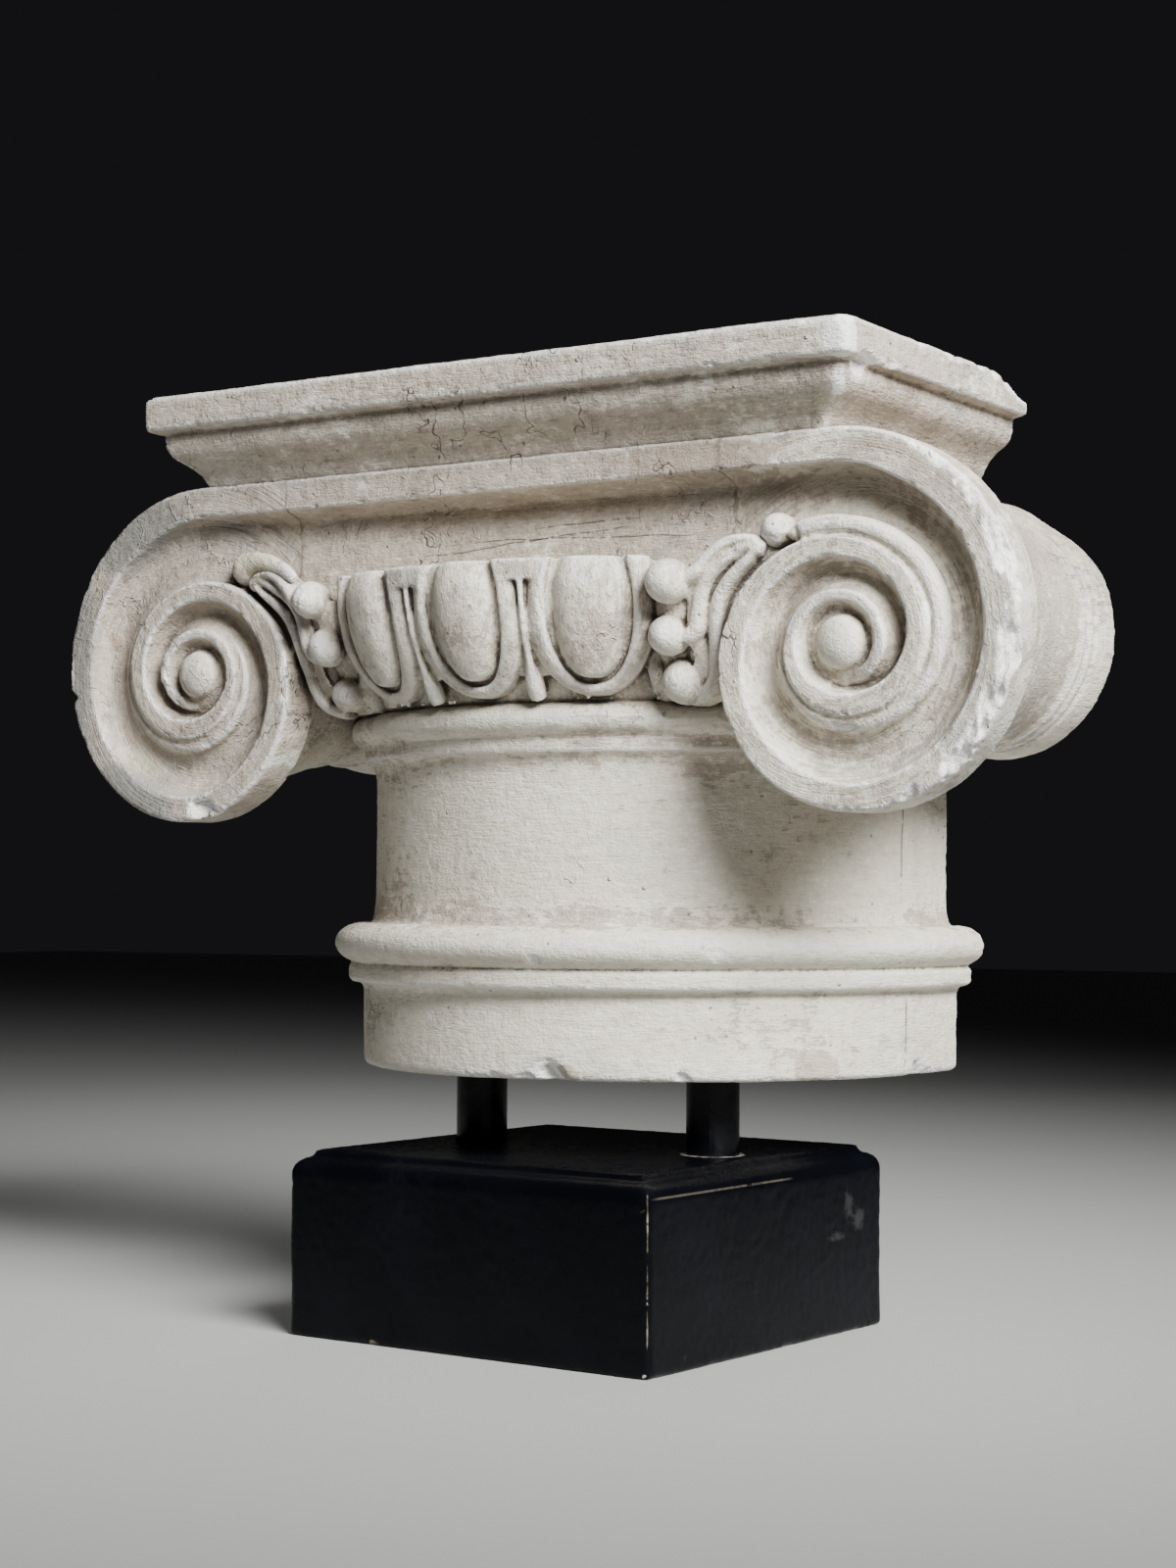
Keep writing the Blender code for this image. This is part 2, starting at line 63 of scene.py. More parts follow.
# ---- sizes in millimetres
# Levels of the cast
UNDERSIDE = 123.8
DRUM_TOP = 165.0
FILLET_TOP = 174.0
TORUS_TOP = 193.5
NECK_TOP = 271.5
NECK_FILLET_TOP = 280.0
ASTRAGAL_TOP = 294.6
ECHINUS_TOP = 357.0
BAND_BOTTOM = 392.0
ARRIS = 405.5
ABACUS_TOP = 450.0

# The column: half a round with straight sides to a flat back
COLUMN_Y = 65.0
DRUM_RADIUS = 147.8
FILLET_RADIUS = 155.2
TORUS_RADIUS = 162.2
NECK_RADIUS = 142.0
ASTRAGAL_RADIUS = 154.8
NECK_BACK = 97.0
UPPER_BACK = 77.0

# The abacus
ABACUS_HALF_WIDTH = 193.3
ABACUS_FRONT = -106.7
ABACUS_CORNER = 3.2
FASCIA = ABACUS_TOP - 17.0

# The scrolls; tables run from the top clockwise on the right scroll, one entry a quarter turn
FACE_Y = -86.0
RIM_BACK_Y = -63.0
EYE_X = 177.3
EYE_Z = 315.0
EYE_RADIUS = 11.7
EDGE_RADII = (92.0, 82.0, 72.0, 58.0, 45.5, 42.0, 31.8, 26.5, 22.8, 22.4, 17.4, 13.0)
RIM_WIDTHS = (17.5, 15.0, 12.5, 13.0, 9.5, 10.0, 10.2, 6.5, 5.2, 5.5, 5.0, 4.0)
HOLLOW_DEPTHS = (17.5, 11.0, 10.2, 11.5, 9.5, 9.0, 7.0, 6.5, 5.0, 4.5, 3.5, 3.0)
SCROLL_TOP = EYE_Z + EDGE_RADII[0]
SCROLL_END = radians(915)
INNERMOST = 2 * pi * 1.55
RIM_SINK = 8.0
BEAD_START = radians(333)
LEFT_BEAD_START = radians(395)
BEAD_END = radians(690)
BEAD_WIDTHS = (10.0, 9.0, 7.4, 5.2, 1.6)
ROLL_POLE = (173.0, 354.0)
ROLL_FLAT = 0.1

# The egg course
EGG_ROW_RADIUS = 167.0
EGG_PITCH = radians(20.4)
EGG_COUNT = 3
EGG_HALF_WIDTH = 17.9
EGG_CROWN = 17.5
EGG_WAIST = 334.0
EGG_HEAD = 35.0
EGG_BOTTOM = 304.0
SHELL_INSIDE = 19.4
SHELL_WIDTH = 9.6
SHELL_BOTTOM = 301.6
SHELL_FOOT = 5.0
OVAL_POWER = 2.25
SLIT_TOP = 347.5
SLIT_FOOT = 318.0
SLIT_HALF_WIDTHS = (1.2, 3.2)

# The plinth, turned a little against the capital, and the foot of the right rod on it
PLINTH_TURN = radians(-3.4)
PLINTH_HALF = (103.0, 99.5)
ROD_FOOT = (68.4, 3.0, 87.0)
ROD_RING = 14.0


# ---- small tools
def curve_through(values, position):
    """Value of a smooth curve through evenly spaced values, at positions counted in steps."""
    table = np.asarray(values, float)
    position = np.asarray(position, float)
    first = np.clip(np.floor(position).astype(int), 0, len(table) - 2)
    t = position - first
    a, b, c, d = (table[np.clip(first + k, 0, len(table) - 1)] for k in (-1, 0, 1, 2))
    if table.ndim > 1:
        t = t[..., None]
    return 0.5 * (2 * b + (c - a) * t + (2 * a - 5 * b + 4 * c - d) * t ** 2
                  + (3 * b - a - 3 * c + d) * t ** 3)


def ramp(value, low, high):
    """0 at low, 1 at high, straight between them and level beyond."""
    return np.clip((value - low) / (high - low), 0, 1)


def stack(*columns):
    return np.stack(np.broadcast_arrays(*columns), axis=-1)


def circle(sides):
    return np.linspace(0, 2 * pi, sides, endpoint=False)


def squared(wave, power):
    """A wave with flatter crests."""
    return np.sign(wave) * np.abs(wave) ** power


def unit(vectors):
    return vectors / np.linalg.norm(vectors, axis=-1, keepdims=True)


def mirrored(rings):
    return np.asarray(rings, float) * (-1.0, 1.0, 1.0)


def put(name, data):
    """A new object in the scene."""
    made = bpy.data.objects.new(name, data)
    bpy.context.collection.objects.link(made)
    return made


class Heap:
    """Closed solids gathered in one mesh before they are cast into one skin."""

    def __init__(self):
        self.points = []
        self.faces = []
        self.count = 0

    def add(self, points, faces):
        self.points.append(np.asarray(points, float).reshape(-1, 3))
        self.faces += [tuple(int(i) + self.count for i in face) for face in faces]
        self.count += len(self.points[-1])

    def loft(self, rings):
        """Skin closed rings, given as an array of ring, point and x y z; both ends are capped."""
        rings = np.asarray(rings, float)
        rows, width = rings.shape[:2]
        corner = np.arange(rows * width).reshape(rows, width)
        beside = np.roll(corner, -1, axis=1)
        quads = np.stack([corner[:-1], beside[:-1], beside[1:], corner[1:]], axis=-1).reshape(-1, 4)
        self.add(rings, quads.tolist() + [corner[0, ::-1].tolist(), corner[-1].tolist()])

    def both_sides(self, rings):
        self.loft(rings)
        self.loft(mirrored(rings))

    def object(self, name):
        mesh = bpy.data.meshes.new(name)
        mesh.from_pydata((np.concatenate(self.points) * MM).tolist(), [], self.faces)
        return put(name, mesh)


def tube(points, radii, sides=20, squash=1.0):
    """Rings of a round cord through the points; squash flattens it towards the back."""
    points = np.asarray(points, float)
    radii = np.broadcast_to(np.asarray(radii, float), (len(points),))
    along = unit(np.gradient(points, axis=0))
    across = unit(np.cross(along, (0.0, 1.0, 0.0)))
    out = squash * np.cross(along, across)
    turn = circle(sides)[None, :, None]
    return points[:, None] + radii[:, None, None] * (np.cos(turn) * across[:, None] + np.sin(turn) * out[:, None])


def ellipsoid(centre, radii, rows=24, sides=36):
    """Rings of an ellipsoid that is capped by two tiny discs."""
    lift = np.linspace(-pi / 2 + 0.02, pi / 2 - 0.02, rows)[:, None]
    turn = circle(sides)[None, :]
    shape = stack(np.cos(lift) * np.cos(turn), np.cos(lift) * np.sin(turn), np.sin(lift))
    return shape * np.asarray(radii, float) + np.asarray(centre, float)


def arc(centre, half_widths, start, end, steps):
    """Points of an elliptic arc in a profile; angles in degrees from outward, upwards."""
    turn = np.radians(np.linspace(start, end, steps))
    return [(centre[0] + half_widths[0] * cos(a), centre[1] + half_widths[1] * sin(a)) for a in turn]


# ---- abacus
def abacus_profile():
    """Inset from the fascia and level, from the arris up to the top."""
    return [(26, ARRIS - 6), (23.8, ARRIS - 0.4), (23, ARRIS + 0.6), (21.6, 407.6), (20.9, 409.6),
            (19.6, 412.4), (17.2, 415), (14.4, 417.2), (11.6, 419.2), (9.6, 421), (8.1, 423.2), (7.2, 425.6),
            (6.9, 428), (6.9, FASCIA - 3), (7.4, FASCIA - 1.6), (6.2, FASCIA - 0.6), (3, FASCIA - 0.2),
            (1, FASCIA + 0.2), (0.2, FASCIA + 1), (0, FASCIA + 2.4), (0, ABACUS_TOP - 3),
            (0.4, ABACUS_TOP - 1.4), (1.4, ABACUS_TOP - 0.4), (3, ABACUS_TOP)]


def abacus():
    """Plans with two rounded corners in front and two square ones behind."""
    turn = np.radians(np.linspace(0, 90, 7))
    across, back = ABACUS_CORNER * (1 - np.sin(turn)), ABACUS_CORNER * (1 - np.cos(turn))
    rings = []
    for inset, level in abacus_profile():
        side, front = ABACUS_HALF_WIDTH - inset, ABACUS_FRONT + inset
        x = np.concatenate([across[::-1] - side, side - across, [side, -side]])
        y = np.concatenate([front + back[::-1], front + back, [UPPER_BACK, UPPER_BACK]])
        rings.append(stack(x, y, level))
    return rings


# ---- scrolls
def by_quarter(table, turn):
    """Value of a table that has one entry a quarter turn."""
    return curve_through(table, np.asarray(turn) / (pi / 2))


def edge_radius(turn):
    """Distance of a winding's outer edge from the eye."""
    return np.exp(by_quarter(np.log(EDGE_RADII), turn))


def scroll_point(turn, radius, y):
    return stack(EYE_X + radius * np.sin(turn), y, EYE_Z + radius * np.cos(turn))


HOLLOW_STEPS = 25


def winding_section(outer, rim, inner, depth, openness):
    """Distances and depths across one winding, from its back edge over the rim to the hollow.

    openness 0 gives an even hollow between two windings, 1 the open one above the eggs.
    """
    u = np.linspace(0, 1, HOLLOW_STEPS)
    even = np.sin(pi * u ** 0.8) ** 0.74
    opened = ramp(u, 0, 0.07) ** 0.6 * (1.0 - 0.42 * u)
    fall = depth * ((1 - openness) * even + openness * opened)
    inside = outer - rim
    bevel = min(1.0, rim * 0.2)
    back = RIM_BACK_Y - FACE_Y
    distance = np.concatenate([[outer - 0.2, outer, outer - 0.5 * bevel, outer - bevel, inside + bevel,
                                inside + 0.3 * bevel], inside + (inner - inside) * u, [inner, inner]])
    below = np.concatenate([[back, 2.2, 0.7, 0.1, 0.0, 0.25], np.maximum(fall, 0.5), [fall[-1] + 4.0, back]])
    return distance, below


def channel_floor(x):
    """Lowest level of the hollow between the scrolls, at x."""
    if x <= EYE_X - 58.0:
        return ECHINUS_TOP - 20.0
    turn = 2 * pi
    while turn > pi and EYE_X + float(edge_radius(turn)) * sin(turn) > x:
        turn -= radians(1)
    return EYE_Z + float(edge_radius(turn)) * cos(turn) - 3.0


def rim_sink(turn):
    """How far the last winding has sunk towards the floor where it ends."""
    return RIM_SINK * ramp(turn, radians(800), radians(905)) ** 1.5


# Share of the next winding's sinking that each point of a winding's section takes
INWARD = np.concatenate([np.zeros(6), np.linspace(0, 1, HOLLOW_STEPS) ** 2, [1.0, 0.0]])


def scroll_face(shallow):
    """The band and one scroll's windings as one long strip, from the middle to the eye.

    shallow is the share that the hollow loses over the top of the scroll.
    """
    rings = []
    for share in np.linspace(0, 1, 61):
        x = EYE_X * share
        depth = HOLLOW_DEPTHS[0] * (1.0 - shallow * share)
        openness = 1.0 - 0.3 * ramp(x, 60.0, EYE_X)
        level, below = winding_section(SCROLL_TOP, SCROLL_TOP - BAND_BOTTOM, channel_floor(x), depth, openness)
        rings.append(stack(x, FACE_Y + below, level))
    for turn in np.linspace(0, SCROLL_END, 331)[1:]:
        outer = float(edge_radius(turn))
        rim = float(by_quarter(RIM_WIDTHS, turn))
        rim += (SCROLL_TOP - BAND_BOTTOM - rim) * ramp(turn, radians(20), 0)
        inner = min(float(edge_radius(turn + 2 * pi)) - 1.0, outer - rim - 0.8)
        if turn > INNERMOST:
            inner = min(inner, EYE_RADIUS - 3.0)
        depth = float(by_quarter(HOLLOW_DEPTHS, turn)) * (1.0 - shallow * ramp(turn, pi, 0))
        radius, below = winding_section(outer, rim, inner, depth, 0.7 * ramp(turn, radians(75), 0))
        fade = max(ramp(turn, radians(640), radians(560)), 0.35)
        below = below + rim_sink(turn) + rim_sink(turn + 2 * pi) * fade * INWARD
        rings.append(scroll_point(turn, radius, FACE_Y + below))
    return rings


def bead(start, sunk):
    """The bead against the second winding, from one turn on; sunk gives its depth along the way."""
    turn = np.linspace(start, BEAD_END, 170)
    width = by_quarter(BEAD_WIDTHS, turn - radians(345))
    begun = ramp(turn, start, start + radians(5))
    radius = 0.5 * width * np.sqrt(np.clip(1 - (1 - begun) ** 2, 0.02, 1))
    below = np.interp((turn - start) / (BEAD_END - start), np.linspace(0, 1, len(sunk)), sunk)
    path = scroll_point(turn, edge_radius(turn) - 0.6 + 0.5 * width, FACE_Y + radius + below)
    return tube(path, radius, 20, 1.2)


# How the roll's section shrinks from the rim to the cut: depths and scales
TRUMPET_DEPTHS = (-66.0, -60.0, -49.0, -29.0, -5.0, 21.0, 40.0)
TRUMPET_SCALES = (0.968, 0.94, 0.885, 0.812, 0.752, 0.712, 0.699)
BELT_START = 58.5


def roll_scale(y):
    """Section scale of the roll at one depth: a trumpet, two fillets and a swelling belt."""
    if y > BELT_START:
        return 0.722 + 0.018 * sin(pi / 2 * ramp(y, BELT_START, BELT_START + 16.0))
    fillets = sum(ramp(abs(y - centre), 3.0, 2.2) for centre in (46.0, 54.5))
    return float(np.interp(y, TRUMPET_DEPTHS, TRUMPET_SCALES)) + 0.019 * fillets


def roll():
    """The roll behind a scroll; its outline closes in a corner under the abacus."""
    turn = np.linspace(0, radians(330), 200)
    outline = np.append(scroll_point(turn, edge_radius(turn), 0.0), [(EYE_X - 36.0, 0.0, ARRIS + 2.0)], axis=0)
    side, rise = outline[:, 0] - ROLL_POLE[0], outline[:, 2] - ROLL_POLE[1]
    # The upper outer quarter is cut flatter than the face, more so towards the back
    flat = ROLL_FLAT * np.exp(-((np.arctan2(side, rise) - radians(52)) / radians(26)) ** 2)
    rings = []
    for y in np.concatenate([np.linspace(-66, 40, 60), np.linspace(40.5, UPPER_BACK, 74)]):
        scale = roll_scale(y) * (1 - flat * ramp(y, -58.0, 2.0))
        rings.append(stack(ROLL_POLE[0] + scale * side, y, ROLL_POLE[1] + scale * rise))
    return rings


# ---- column
def on_column(angle, radius, level):
    return stack(radius * np.sin(angle), COLUMN_Y - radius * np.cos(angle), level)


def half_round(radius, level, back):
    """Plan of the column at one level."""
    front = on_column(np.linspace(-pi / 2, pi / 2, 181), radius, level)
    return np.append(front, [(front[-1, 0], back, level), (front[0, 0], back, level)], axis=0)


def column():
    """Plans at the radius and level of each point of the profile, from the underside to the astragal."""
    drum, fillet, neck = DRUM_RADIUS, FILLET_RADIUS, NECK_RADIUS
    profile = [
        (drum - 3, UNDERSIDE), (drum - 1.2, UNDERSIDE + 0.6), (drum - 0.2, UNDERSIDE + 2.2),
        (drum, UNDERSIDE + 4), (drum, DRUM_TOP - 4), (drum + 0.4, DRUM_TOP - 2), (drum + 1.8, DRUM_TOP - 0.8),
        (fillet - 1.6, DRUM_TOP - 0.2), (fillet - 0.3, DRUM_TOP + 0.8), (fillet, DRUM_TOP + 2),
        (fillet, FILLET_TOP - 2), (fillet - 0.6, FILLET_TOP - 0.8), (fillet - 3.4, FILLET_TOP - 0.2),
        *arc((TORUS_RADIUS - 13.5, (FILLET_TOP + TORUS_TOP) / 2), (13.5, 9.7), -62, 90, 30),
        (neck + 3.4, TORUS_TOP - 0.6), (neck + 1.9, TORUS_TOP + 0.8), (neck + 0.9, TORUS_TOP + 4.5),
        (neck + 0.2, TORUS_TOP + 10), (neck, TORUS_TOP + 18), (neck, NECK_TOP - 8),
        (neck + 0.6, NECK_TOP - 4), (neck + 2.2, NECK_TOP - 1), (neck + 5, NECK_TOP + 0.6),
        (neck + 6, NECK_TOP + 1.6), (neck + 6.2, NECK_FILLET_TOP - 1), (neck + 4.8, NECK_FILLET_TOP),
        *arc((ASTRAGAL_RADIUS - 7.6, (NECK_FILLET_TOP + ASTRAGAL_TOP) / 2), (7.6, 7.4), -80, 90, 22)]
    return [half_round(radius, level, NECK_BACK) for radius, level in profile]


def echinus_bed():
    """The plain bed behind the eggs, drawn in above the astragal."""
    return [half_round(ASTRAGAL_RADIUS - 8.0 + 19.0 * ramp(level, ASTRAGAL_TOP, ECHINUS_TOP) ** 0.5,
                       level, UPPER_BACK) for level in np.linspace(ASTRAGAL_TOP - 4.0, ECHINUS_TOP - 1.0, 40)]


# ---- eggs, shells and darts
def course_front(level):
    """How far the egg course stands out from the column's axis."""
    t = ramp(level, ECHINUS_TOP, ASTRAGAL_TOP)
    return EGG_ROW_RADIUS + 15.0 * np.sqrt(1.0 - t ** 2.6) - 14.0 * t ** 2


def oval(level, half_width, bottom):
    """Half width of an egg's or a shell's outline at one level."""
    reach = EGG_HEAD if level > EGG_WAIST else EGG_WAIST - bottom
    share = min(abs(level - EGG_WAIST) / reach, 1.0)
    return half_width * (1.0 - share ** OVAL_POWER) ** (1.0 / OVAL_POWER)


def egg():
    turn = circle(64)
    across, forward = squared(np.sin(turn), 0.78), squared(np.cos(turn), 0.78)
    rings = []
    for t in np.linspace(0, 1, 48):
        level = ECHINUS_TOP + (EGG_BOTTOM - ECHINUS_TOP) * sin(pi / 2 * t)
        swell = max(oval(level, 1.0, EGG_BOTTOM), 0.05)
        brow = 3.6 * ramp(level, ECHINUS_TOP - 14.0, ECHINUS_TOP) ** 2
        heart = course_front(level) + 0.8 - brow - EGG_CROWN * swell
        rings.append(stack(EGG_HALF_WIDTH * swell * across, COLUMN_Y - heart - EGG_CROWN * swell * forward, level))
    return rings


# Section of a shell's lip: how far across it each point lies and how far back
LIP_ACROSS = np.array([0, 0, 0.07, 0.26, 0.62, 0.92, 1, 1])
LIP_FALL = np.array([26, 1.2, 0.2, 0, 0.9, 2.4, 4.0, 26])


def shell():
    """The lip round one egg: a U of rounded square section."""
    rings = []
    for share in np.linspace(-1, 1, 121):
        side = 1 if share > 0 else -1
        inner_level = SHELL_BOTTOM + (ECHINUS_TOP - SHELL_BOTTOM) * (1 - cos(pi / 2 * abs(share)))
        outer_level = inner_level - SHELL_FOOT * (1 - abs(share)) ** 2
        inner = oval(inner_level, SHELL_INSIDE, SHELL_BOTTOM)
        outer = oval(outer_level, SHELL_INSIDE + SHELL_WIDTH, SHELL_BOTTOM - SHELL_FOOT)
        outer += 3.0 * ramp(outer_level, ECHINUS_TOP - 21.0, ECHINUS_TOP)
        # The slit to the next shell is open under the lintel and a narrow cleft further down
        slit = np.interp(outer_level, (SLIT_FOOT, SLIT_TOP), SLIT_HALF_WIDTHS)
        outer = min(outer, 0.5 * EGG_PITCH * EGG_ROW_RADIUS - slit)
        across = side * (inner + (outer - inner) * LIP_ACROSS)
        level = inner_level + (outer_level - inner_level) * LIP_ACROSS
        rings.append(on_column(across / EGG_ROW_RADIUS, course_front(inner_level) - 3.0 - LIP_FALL, level))
    return rings


def backing():
    """The floor of the groove between an egg and its shell."""
    rings = []
    for level in np.linspace(SHELL_BOTTOM - 1.0, ECHINUS_TOP - 0.6, 40):
        half = max(oval(max(level, SHELL_BOTTOM + 0.4), SHELL_INSIDE + 2.0, SHELL_BOTTOM - 1.0), 0.5)
        across = half * np.array([-1, -1 / 3, 1 / 3, 1, 1, -1]) / EGG_ROW_RADIUS
        rings.append(on_column(across, course_front(level) - 6.4 - np.array([0, 0, 0, 0, 22, 22]), level))
    return rings


def slab(half_width, behind, thickness, levels):
    """A plain filling of the egg course, some way behind its front."""
    across, fall = half_width * np.array([-1, 1, 1, -1]), behind + thickness * np.array([0, 0, 1, 1])
    return [on_column(across / EGG_ROW_RADIUS, course_front(level) - fall, level) for level in levels]


def darts():
    """The tongue between two shells with its bud, the slit's floor, and the lintel over them."""
    place = np.linspace(0, 5, 60)
    radius, level = curve_through(((177.5, 354), (176.2, 340), (172.2, 326), (166.5, 313), (159.5, 303.5),
                                   (154.5, 296)), place).T
    tongue = tube(on_column(0.0, radius, level), curve_through((1.5, 1.5, 1.5, 1.7, 4.2, 3.9), place))
    return (tongue, slab(7.0, 6.8, 14.0, np.linspace(306.0, SLIT_TOP + 2.0, 12)),
            slab(9.0, 3.0, 24.0, np.linspace(SLIT_TOP, ECHINUS_TOP, 8)))


def row_tree():
    """Repeats one carved unit at an even pitch round the column's axis."""
    tree = GeometryTree("row", {"Unit": "Object", "Count": "Int", "Pitch": "Float", "Paint": "Material"})
    count = tree.given("Count")
    places = tree.out("GeometryNodeMeshLine", {"Count": count, "Offset": (0.0, 0.0, 0.0)})
    turn = (Value(tree, tree.known("Index")) - (count - 1.0) * 0.5) * tree.given("Pitch")
    aim = tree.out("ShaderNodeCombineXYZ", {2: turn})
    row = tree.out("GeometryNodeInstanceOnPoints",
                   {"Points": places, "Instance": tree.shape_of("Unit"), "Rotation": aim})
    row = tree.out("GeometryNodeTransform", {"Geometry": row, "Translation": (0.0, COLUMN_Y * MM, 0.0)})
    row = tree.out("GeometryNodeRealizeInstances", {"Geometry": row})
    tree.finish(tree.out("GeometryNodeSetMaterial", {"Geometry": row, "Material": tree.given("Paint")}))
    return tree


def row_of(tree, parts, count, paint):
    """A row of one unit's solids, made round the column, as points and faces."""
    heap = Heap()
    for part in parts:
        heap.loft(np.asarray(part, float) - (0.0, COLUMN_Y, 0.0))
    master = heap.object("unit")
    row = put("row", bpy.data.meshes.new("row"))
    tree.run(row, Unit=master, Count=count, Pitch=EGG_PITCH, Paint=paint)
    points = points_of(row.data)
    faces = [tuple(face.vertices) for face in row.data.polygons]
    for spent in (row, master):
        bpy.data.objects.remove(spent)
    return points, faces


# ---- sprays in the corners
# Crest of each stalk, from the root beside the knob to its ball
STALKS = (
    ((137, -88, 361.2), (131, -89.5, 361.4), (125, -91, 360.2), (120, -92, 357.2), (115, -93, 352.7),
     (111.5, -94, 348.5), (106, -94, 345.6)),
    ((137, -88, 359.2), (132.5, -88.5, 357.6), (127.4, -89, 355.2), (120, -89, 351), (115, -89, 346.7),
     (111.2, -88.5, 341), (109, -87.5, 332.7), (107, -87, 324.3), (101.5, -87, 319.2)),
    ((138, -88, 356.4), (134, -88, 352.5), (130, -87.5, 349.6), (124.8, -87, 345.4), (120.4, -86, 340.6),
     (117.2, -85, 334.4), (114.7, -82, 324.3), (112.9, -78, 314), (110.8, -75, 304.2), (105.4, -73, 297.6),
     (97, -71, 294.6)))
STALK_WIDTHS = (2.0, 2.5, 2.9, 3.3, 3.5, 3.7, 3.8, 3.8, 3.8, 3.8, 3.6)
STALK_DEPTH = 9.0
GROOVE_DEPTH = 4.6
# Centre, half width and half height of the balls on the right and on the left
RIGHT_BALLS = ((97.4, -90.6, 344.6, 9.9, 10.1), (93.4, -83, 321.6, 8.9, 9.1), (93.4, -68, 302.4, 10.2, 10.6))
LEFT_BALLS = ((100.2, -90.6, 347, 8.4, 9), (95.8, -83, 324.6, 8.6, 9.4), (91.4, -68, 303, 10, 8.6))


def ridge(points, half_widths, depth):
    """A cord whose section is deep and nearly square behind a round crest."""
    rings = tube(points, 1.0, 28)
    centre = np.asarray(points, float)[:, None]
    turn = circle(28)[None, :, None]
    side = np.asarray(half_widths)[:, None, None] * squared(np.cos(turn), 0.72)
    return centre + side * (rings[:, :1] - centre) + depth * squared(np.sin(turn), 0.72) * (rings[:, 7:8] - centre)


def spray(balls):
    """Stalks, balls and the leaf that backs them, for the right corner."""
    parts, paths = [], []
    for stalk in STALKS:
        place = np.linspace(0, len(stalk) - 1, 70)
        path = curve_through(stalk, place)
        paths.append(path)
        parts.append(ridge(path + (0.0, STALK_DEPTH, 0.0), curve_through(STALK_WIDTHS, place), STALK_DEPTH))
    for x, y, z, half_width, half_height in balls:
        parts.append(ellipsoid((x, y, z), (half_width, half_width + 3.0, half_height)))
    parts.append(ridge([(129, -79, 358.6), (134, -79, 358.8), (138, -78.6, 358.2), (140.6, -78, 357)],
                       (3.6, 4.6, 5.0, 3.8), 9.0))
    leaf = np.stack(paths + [paths[-1] + (12.0, 7.0, 0.0)], axis=1) + (0.0, GROOVE_DEPTH, 0.0)
    parts.append(np.concatenate([leaf, leaf[:, ::-1] + (0.0, 30.0, 0.0)], axis=1))
    # The web between the balls, and a small tongue below them
    parts.append(tube([(97, -77, 348), (94, -73, 334), (90, -66, 322), (88, -58, 310), (86, -52, 300)], 13.5))
    parts.append(tube([(104, -77, 334), (103, -70, 320), (101, -63, 306)], 7.5))
    parts.append(tube([(81, -74, 318), (80.5, -72.5, 309), (80, -66, 301), (80, -60, 297)], [2.6, 4.2, 5.0, 4.6]))
    return parts


# ---- node trees
class Value:
    """A number in a node tree that takes part in plain arithmetic."""

    def __init__(self, tree, socket):
        self.tree = tree
        self.socket = socket

    def math(self, operation, *others, clamp=False):
        return self.tree.value("ShaderNodeMath", enumerate((self, *others)), operation=operation, use_clamp=clamp)

    def __add__(self, other):
        return self.math("ADD", other)

    def __sub__(self, other):
        return self.math("SUBTRACT", other)

    def __rsub__(self, other):
        return self * -1.0 + other

    def __mul__(self, other):
        return self.math("MULTIPLY", other)

    __radd__ = __add__

    def clamped(self):
        return self.math("ADD", 0.0, clamp=True)

    def line(self, width, gone):
        """1 where clouds cross their middle, as a thin line; width and gone give its soft edge."""
        return (self - 0.5).math("ABSOLUTE").rise(width, gone)

    def rise(self, low, high):
        """0 at low, 1 at high, with soft ends."""
        return self.tree.value("ShaderNodeMapRange", enumerate((self, low, high)), interpolation_type="SMOOTHSTEP")


class Tree:
    """A node tree that nodes are added to with their settings and their sockets' values."""

    def __init__(self, group):
        self.group = group

    def add(self, kind, sockets=(), **settings):
        made = self.group.nodes.new(kind)
        for name, value in settings.items():
            setattr(made, name, value)
        for name, value in dict(sockets).items():
            self.plug(made.inputs[name], value)
        return made

    def out(self, *node, **settings):
        """The first output of a new node."""
        return self.add(*node, **settings).outputs[0]

    def value(self, *node, **settings):
        return Value(self, self.out(*node, **settings))

    def plug(self, socket, value):
        if isinstance(value, Value):
            value = value.socket
        if isinstance(value, bpy.types.NodeSocket):
            self.group.links.new(value, socket)
        else:
            socket.default_value = value

    def vector(self, operation, *values):
        return self.out("ShaderNodeVectorMath", enumerate(values), operation=operation)

    def dot(self, first, second):
        made = self.add("ShaderNodeVectorMath", {0: first, 1: second}, operation="DOT_PRODUCT")
        return Value(self, made.outputs["Value"])

    def scaled(self, vector, factor):
        return self.out("ShaderNodeVectorMath", {0: vector, "Scale": factor}, operation="SCALE")

    def noise(self, place, scale, detail=3.0, rough=0.55, warp=0.0, shift=0.0):
        """Cloudy noise between about 0 and 1; shift moves it to another stretch of cloud."""
        if shift:
            place = self.vector("ADD", place, (shift, 0.37 * shift, -0.61 * shift))
        return self.value("ShaderNodeTexNoise", {"Vector": place, "Scale": scale, "Detail": detail,
                                                 "Roughness": rough, "Distortion": warp})

    def specks(self, place, scale, size, luck, channel):
        """A soft dot of some size in the few cells of a grid whose chance is above luck."""
        cells = self.add("ShaderNodeTexVoronoi", {"Vector": place, "Scale": scale})
        chance = self.add("ShaderNodeSeparateXYZ", {0: cells.outputs["Color"]}).outputs[channel]
        return Value(self, cells.outputs["Distance"]).rise(*size) * Value(self, chance).rise(luck, luck + 0.005)


